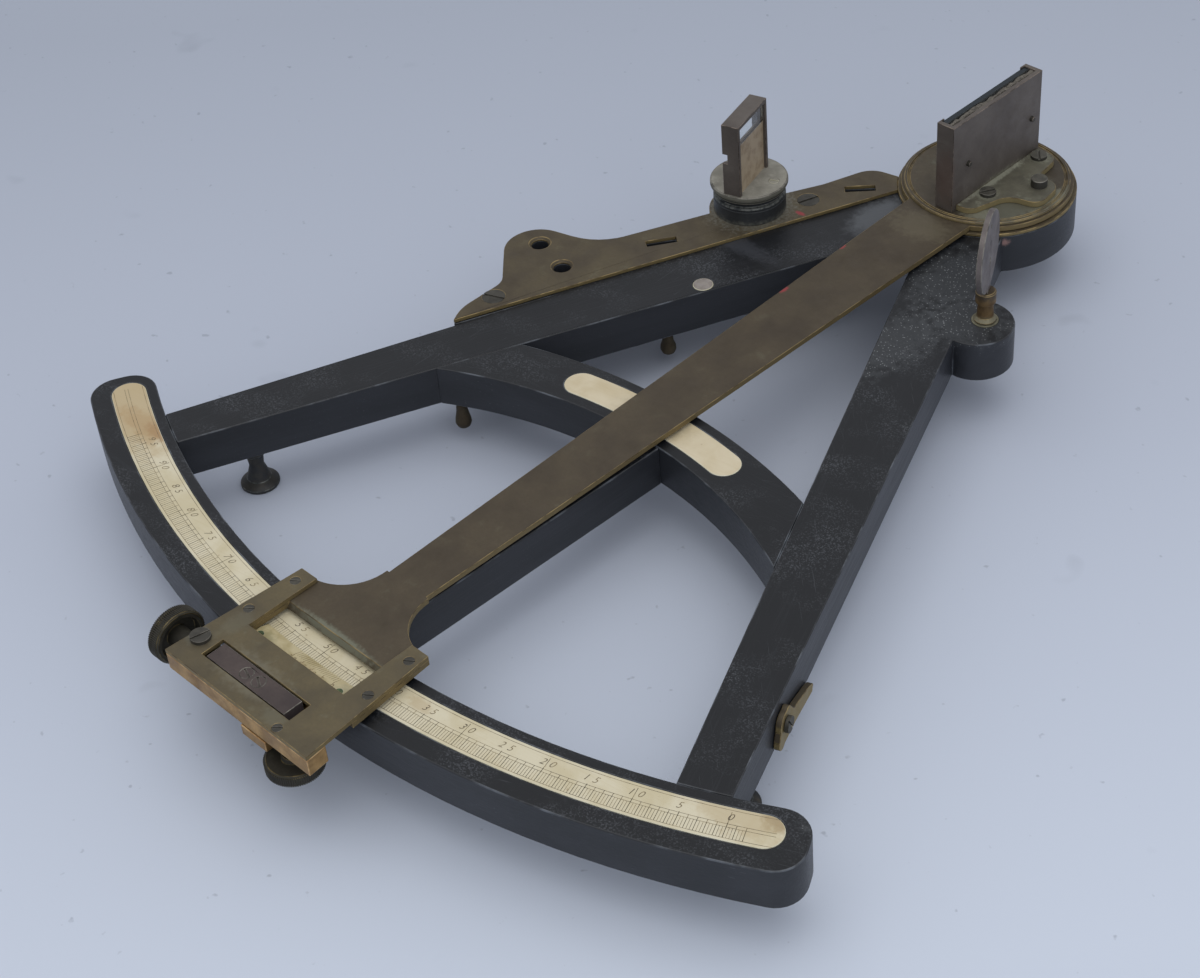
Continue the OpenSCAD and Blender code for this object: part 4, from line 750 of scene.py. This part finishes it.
# Degrees to the right of the middle, of the scale's 0 and of the first tick
ZERO_DEG, FIRST_DEG = 25, 26
mark_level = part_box("scale_inlay")[1][2] + LINE_LIFT
marks = [
    radial_ticks("thirds", FIRST_DEG, -1 / 6, 298, LINES[2], LINES[3], TICK_W, mark_level),
    radial_ticks("degrees", FIRST_DEG, -0.5, 100, LINES[1], LINES[3], TICK_W + 0.03, mark_level),
    radial_ticks("fives", ZERO_DEG, -2.5, 20, LINES[1] - 0.3, LINES[3], TICK_W + 0.04, mark_level),
    radial_ticks("tens", ZERO_DEG, -5, 10, TENS_FROM, LINES[3], TICK_W + 0.04, mark_level)]
print("ticks:", [len(m.data.polygons) for m in marks], "thirds, degrees, fives and tens")

# %% Ring lines, joined with the ticks
RING_STEPS = 90
RING_LEFT_DEG, RING_RIGHT_DEG = 28.2, 27.5


def arc_point(radius, degrees, height):
    """A place on the dial, in metres, from mm and the angle to the right of the middle."""
    turn = math.radians(degrees)
    return Vector((radius * MM * math.sin(turn), -radius * MM * math.cos(turn), height))


def engraved_arc(name, radius, left_deg, right_deg, width, height):
    """A thin line round the pivot: a short edge spun through the arc."""
    bpy.ops.object.select_all(action="DESELECT")
    bpy.ops.mesh.primitive_plane_add(size=MM, location=(0, 0, 0))
    line = bpy.context.object
    line.name = name
    bpy.ops.object.mode_set(mode="EDIT")
    shape = bmesh.from_edit_mesh(line.data)
    shape.verts.ensure_lookup_table()
    ends = [arc_point(radius + side * width / 2, -left_deg, height) for side in (-1, 1)]
    for vertex, end in zip(shape.verts[:2], ends):
        vertex.co = end
    for vertex in list(shape.verts)[2:]:
        shape.verts.remove(vertex)
    bmesh.update_edit_mesh(line.data)
    bpy.ops.mesh.select_all(action="SELECT")
    bpy.ops.mesh.spin(steps=RING_STEPS, angle=math.radians(left_deg + right_deg),
                      center=(0, 0, 0), axis=(0, 0, -1))
    bpy.ops.object.mode_set(mode="OBJECT")
    return line


def join_pieces(name, parts, finish, node):
    """Joins loose marks into one piece that rides with a node."""
    bpy.ops.object.select_all(action="DESELECT")
    for part in parts:
        part.select_set(True)
    bpy.context.view_layer.objects.active = parts[0]
    bpy.ops.object.join()
    piece = bpy.context.object
    piece.name = name
    piece.data.materials.clear()
    piece.data.materials.append(finish)
    settle(piece, node)
    return piece


marks += [engraved_arc("ring", radius, RING_LEFT_DEG, RING_RIGHT_DEG, TICK_W, mark_level)
          for radius in LINES]
scale_marks = join_pieces("scale_divisions", marks, scale_ink, "scale_inlay")
print("scale divisions:", len(scale_marks.data.polygons), "faces")

# %% [markdown]
# The numerals were cut with punches, one digit at a time, so every digit is its own small
# stamp: text turned to a mesh, leaning a little as the old italic punches did. Each stands
# with its top towards the pivot, one on each side of the line at the tens.

# %% Numerals on the scale
# How far a digit leans, and how much thinner its strokes are, as a share of its height
SLANT, THINNING = 0.32, -0.012
DIGIT_R, DIGIT_MM, DIGIT_STEP = 251.9, 2.7, 2.4
# The lone 5 was punched a little left of its line
FIVE_SHIFT = -0.7


def stamp_digit(digit, radius, degrees, across_mm, size_mm, height):
    """One digit, centred at its place on the dial with its top towards the pivot."""
    text = bpy.data.curves.new("digit", "FONT")
    text.body = digit
    text.size = size_mm * MM
    text.shear = SLANT
    text.offset = THINNING * size_mm * MM
    text.align_x, text.align_y = "CENTER", "CENTER"
    stamp = bpy.data.objects.new("digit_" + digit, text)
    bpy.context.scene.collection.objects.link(stamp)
    choose(stamp)
    bpy.ops.object.convert(target="MESH")
    stamp = bpy.context.object
    stamp.data.transform(Matrix.Translation((across_mm * MM, -radius * MM, height)))
    stamp.data.transform(Matrix.Rotation(math.radians(degrees), 4, "Z"))
    return stamp


def stamp_number(number, radius, degrees, size_mm, step_mm, height, shift_mm=0.0):
    """The digits of a number, side by side, with the number's middle at its place."""
    word = str(number)
    first = shift_mm - (len(word) - 1) / 2 * step_mm
    return [stamp_digit(digit, radius, degrees, first + index * step_mm, size_mm, height)
            for index, digit in enumerate(word)]


digits = []
for reading in range(0, 100, 5):
    shift = FIVE_SHIFT if reading == 5 else 0.0
    digits += stamp_number(reading, DIGIT_R, ZERO_DEG - reading / 2, DIGIT_MM, DIGIT_STEP,
                           mark_level, shift)
numerals = join_pieces("scale_numerals", digits, scale_ink, "scale_inlay")
print("numerals:", len(digits), "digits,", len(numerals.data.polygons), "faces")

# %% Vernier divisions and numerals
# The vernier's 20 minutes span 19 of the scale's thirds, which are a sixth of a degree each
MINUTES = 20
MINUTE_DEG = 19 / 6 / MINUTES
VERNIER_R, VERNIER_ZERO_DEG = 257, 2.33
BEVEL_W, BEVEL_H = 2.3, 0.8
# Where the ticks start and end, in mm outside the vernier's edge
MINUTE_TICK, FIVE_TICK = (0.35, 2.2), (2.3, 3.1)
MINUTE_W, FIVE_W = 0.1, 0.13
SMALL_R, SMALL_MM, SMALL_STEP = 260.6, 1.9, 1.6

slope = math.atan2(BEVEL_H, BEVEL_W)
flat_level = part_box("vernier")[1][2] + LINE_LIFT
ramp_level = flat_level - BEVEL_H * MM * (1 - sum(MINUTE_TICK) / 2 / BEVEL_W)
minute_radii = [VERNIER_R + out for out in MINUTE_TICK]
five_radii = [VERNIER_R + out for out in FIVE_TICK]
vernier_marks = [
    radial_ticks("minutes", VERNIER_ZERO_DEG, -MINUTE_DEG, MINUTES + 1, *minute_radii, MINUTE_W,
                 ramp_level, slope),
    radial_ticks("five_minutes", VERNIER_ZERO_DEG, -5 * MINUTE_DEG, 5, *five_radii, FIVE_W, flat_level)]
for minute in range(0, MINUTES + 1, 5):
    vernier_marks += stamp_number(minute, SMALL_R, VERNIER_ZERO_DEG - minute * MINUTE_DEG, SMALL_MM,
                                  SMALL_STEP, flat_level)
vernier_piece = join_pieces("vernier_divisions", vernier_marks, vernier_ink, "vernier")
print("vernier marks:", len(vernier_piece.data.polygons), "faces")

# %% [markdown]
# ## Knurled knobs, turned grooves and crumbled packing
# Fingers grip the two knobs by a knurl: fine ridges pressed into the rim with a toothed wheel.
# One ridge is modelled and copied round the knob. The stage and its collar were turned on a
# lathe, so their worn copies are cut at several heights and drawn in to make grooves. The
# packing behind the index mirror has dried and crumbled, so its top is broken into a ridge.

# %% Knurl on the knobs
RIDGES = 84
# A ridge's depth and bevel in mm, and its share of the space from one ridge to the next
RIDGE_DEEP, RIDGE_BEVEL, RIDGE_SHARE = 0.36, 0.1, 0.6
# The axis of a knob as an index: X is 0 and Z is 2
ALONG_X, ALONG_Z = 0, 2


def knurl(node, axis, disc_mm, rim_mm):
    """Ridges round a knob's disc, which starts at its node's lowest face along its axis. They
    are made round the Z axis, then turned and moved into place."""
    low, high = (Vector(corner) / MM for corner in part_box(node))
    centre = (low + high) / 2
    centre[axis] = low[axis] + disc_mm / 2
    radius = (high - low)[2 - axis] / 2
    bpy.ops.object.select_all(action="DESELECT")
    bpy.ops.mesh.primitive_cube_add(size=MM, location=(radius * MM, 0, 0))
    ridge = bpy.context.object
    ridge.name = node + "_knurl"
    ridge.scale = (RIDGE_DEEP, math.tau * radius / RIDGES * RIDGE_SHARE, rim_mm)
    bpy.ops.object.transform_apply(location=True, rotation=True, scale=True)
    bpy.ops.object.mode_set(mode="EDIT")
    bpy.ops.mesh.select_all(action="SELECT")
    bpy.ops.mesh.bevel(offset=RIDGE_BEVEL * MM, segments=1)
    bpy.ops.object.mode_set(mode="OBJECT")
    ridges = copy_round(ridge, 360 / RIDGES, RIDGES)
    if axis == ALONG_X:
        ridges.data.transform(Matrix.Rotation(math.radians(90), 4, "Y"))
    ridges.data.transform(Matrix.Translation(centre * MM))
    ridges.data.materials.append(knob_dark)
    settle(ridges, node)
    return ridges


knurls = [knurl("tangent_knob", ALONG_X, disc_mm=4, rim_mm=3.2),
          knurl("clamp_knob", ALONG_Z, disc_mm=3.4, rim_mm=2.8)]
print("knurls:", [len(k.data.polygons) for k in knurls], "faces")

# %% Turned grooves
# How far in from the outer radius a vertex still belongs to the wall, in mm
WALL_MM = 0.3
# Heights of the cuts above each node's underside, in mm
STAGE_CUTS, STAGE_DEEP = (0.2, 0.5, 0.9, 1.3, 1.6), 0.45
COLLAR_CUTS, COLLAR_DEEP = (4.4, 4.7, 5.0), 0.4


def pick(piece, kind, wanted):
    """Selects, in Edit Mode, only the verts or edges of a piece that are wanted."""
    bpy.ops.mesh.select_all(action="DESELECT")
    shape = bmesh.from_edit_mesh(piece.data)
    for element in getattr(shape, kind):
        element.select = wanted(element)
    shape.select_flush_mode()
    bmesh.update_edit_mesh(piece.data)


def turn_grooves(node, cuts_mm, depth_mm):
    """Cuts a turned wall at each height and draws every second cut in, which leaves V grooves."""
    low, high = (Vector(corner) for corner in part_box(node))
    centre, radius = (low + high) / 2, (high.x - low.x) / 2
    heights = [low.z + cut * MM for cut in cuts_mm]
    inwards = 1 - depth_mm * MM / radius
    choose(worn[node])
    bpy.ops.object.mode_set(mode="EDIT")
    for height in heights:
        bpy.ops.mesh.select_all(action="SELECT")
        bpy.ops.mesh.bisect(plane_co=(0, 0, height), plane_no=(0, 0, 1))
    for height in heights[1::2]:
        pick(worn[node], "verts", lambda vertex: abs(vertex.co.z - height) < 0.01 * MM
             and (vertex.co.xy - centre.xy).length > radius - WALL_MM * MM)
        bpy.ops.transform.resize(value=(inwards, inwards, 1),
                                 center_override=(centre.x, centre.y, height))
    bpy.ops.mesh.select_all(action="SELECT")
    bpy.ops.mesh.customdata_custom_splitnormals_clear()
    bpy.ops.object.mode_set(mode="OBJECT")
    bpy.ops.object.shade_smooth_by_angle(angle=math.radians(SHARP_DEG))


turn_grooves("horizon_stage", STAGE_CUTS, STAGE_DEEP)
turn_grooves("horizon_collar", COLLAR_CUTS, COLLAR_DEEP)
print("grooved pieces:", {n: len(worn[n].data.polygons) for n in ("horizon_stage", "horizon_collar")})

# %% Crumbled packing
# The lump is smaller than its box by this, and its crest is this deep
SLACK_MM, CREST_MM = 0.1, 0.2
# The crest's rise, and its width as a share of the lump's
CREST_LIFT_MM, CREST_WIDTH = 0.5, 0.6
BODY_CUTS, CREST_CUTS = 5, 3
# The size of a crumb, and how far crumbs break up the crest
CRUMB_MM, BREAK_MM = 2.4, 3.4


def crumble_packing(node):
    """A lump of packing that fills its node's box and ends in a thin broken ridge."""
    low, high = (Vector(corner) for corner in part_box(node))
    middle = (low + high) / 2
    size = high - low - Vector((SLACK_MM, SLACK_MM, SLACK_MM)) * MM
    crest = high.z - CREST_MM * MM
    bpy.ops.object.select_all(action="DESELECT")
    bpy.ops.mesh.primitive_cube_add(size=1, location=middle)
    lump = bpy.context.object
    lump.name = node + "_crumbled"
    lump.scale = size
    bpy.ops.object.transform_apply(location=True, rotation=True, scale=True)
    bpy.ops.object.mode_set(mode="EDIT")
    bpy.ops.mesh.subdivide(number_cuts=BODY_CUTS)
    pick(lump, "edges", lambda edge: all(v.co.z > crest - size.z / 5 for v in edge.verts))
    bpy.ops.mesh.subdivide(number_cuts=CREST_CUTS)
    pick(lump, "verts", lambda vertex: vertex.co.z > crest)
    bpy.ops.transform.resize(value=(CREST_WIDTH, 1, 1), center_override=(middle.x, middle.y, high.z))
    bpy.ops.transform.translate(value=(0, 0, CREST_LIFT_MM * MM))
    bpy.ops.object.mode_set(mode="OBJECT")
    group = lump.vertex_groups.new(name="ridge")
    group.add([v.index for v in lump.data.vertices if v.co.z > crest], 1.0, "REPLACE")
    crumbs = bpy.data.textures.new("crumbs", "CLOUDS")
    crumbs.noise_scale = CRUMB_MM * MM
    crumbs.noise_depth = 4
    broken = lump.modifiers.new("broken", "DISPLACE")
    broken.texture = crumbs
    broken.vertex_group = group.name
    broken.direction = "Z"
    broken.strength = BREAK_MM * MM
    bpy.ops.object.modifier_apply(modifier=broken.name)
    lump.data.materials.append(putty)
    bpy.ops.object.shade_smooth_by_angle(angle=math.radians(50))
    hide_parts(node)
    settle(lump, node)
    return lump


packing = crumble_packing("mirror_packing")
packing_top = max(v.co.z for v in packing.data.vertices) / MM
print("packing:", len(packing.data.polygons), "faces, top at", round(packing_top, 1), "mm")
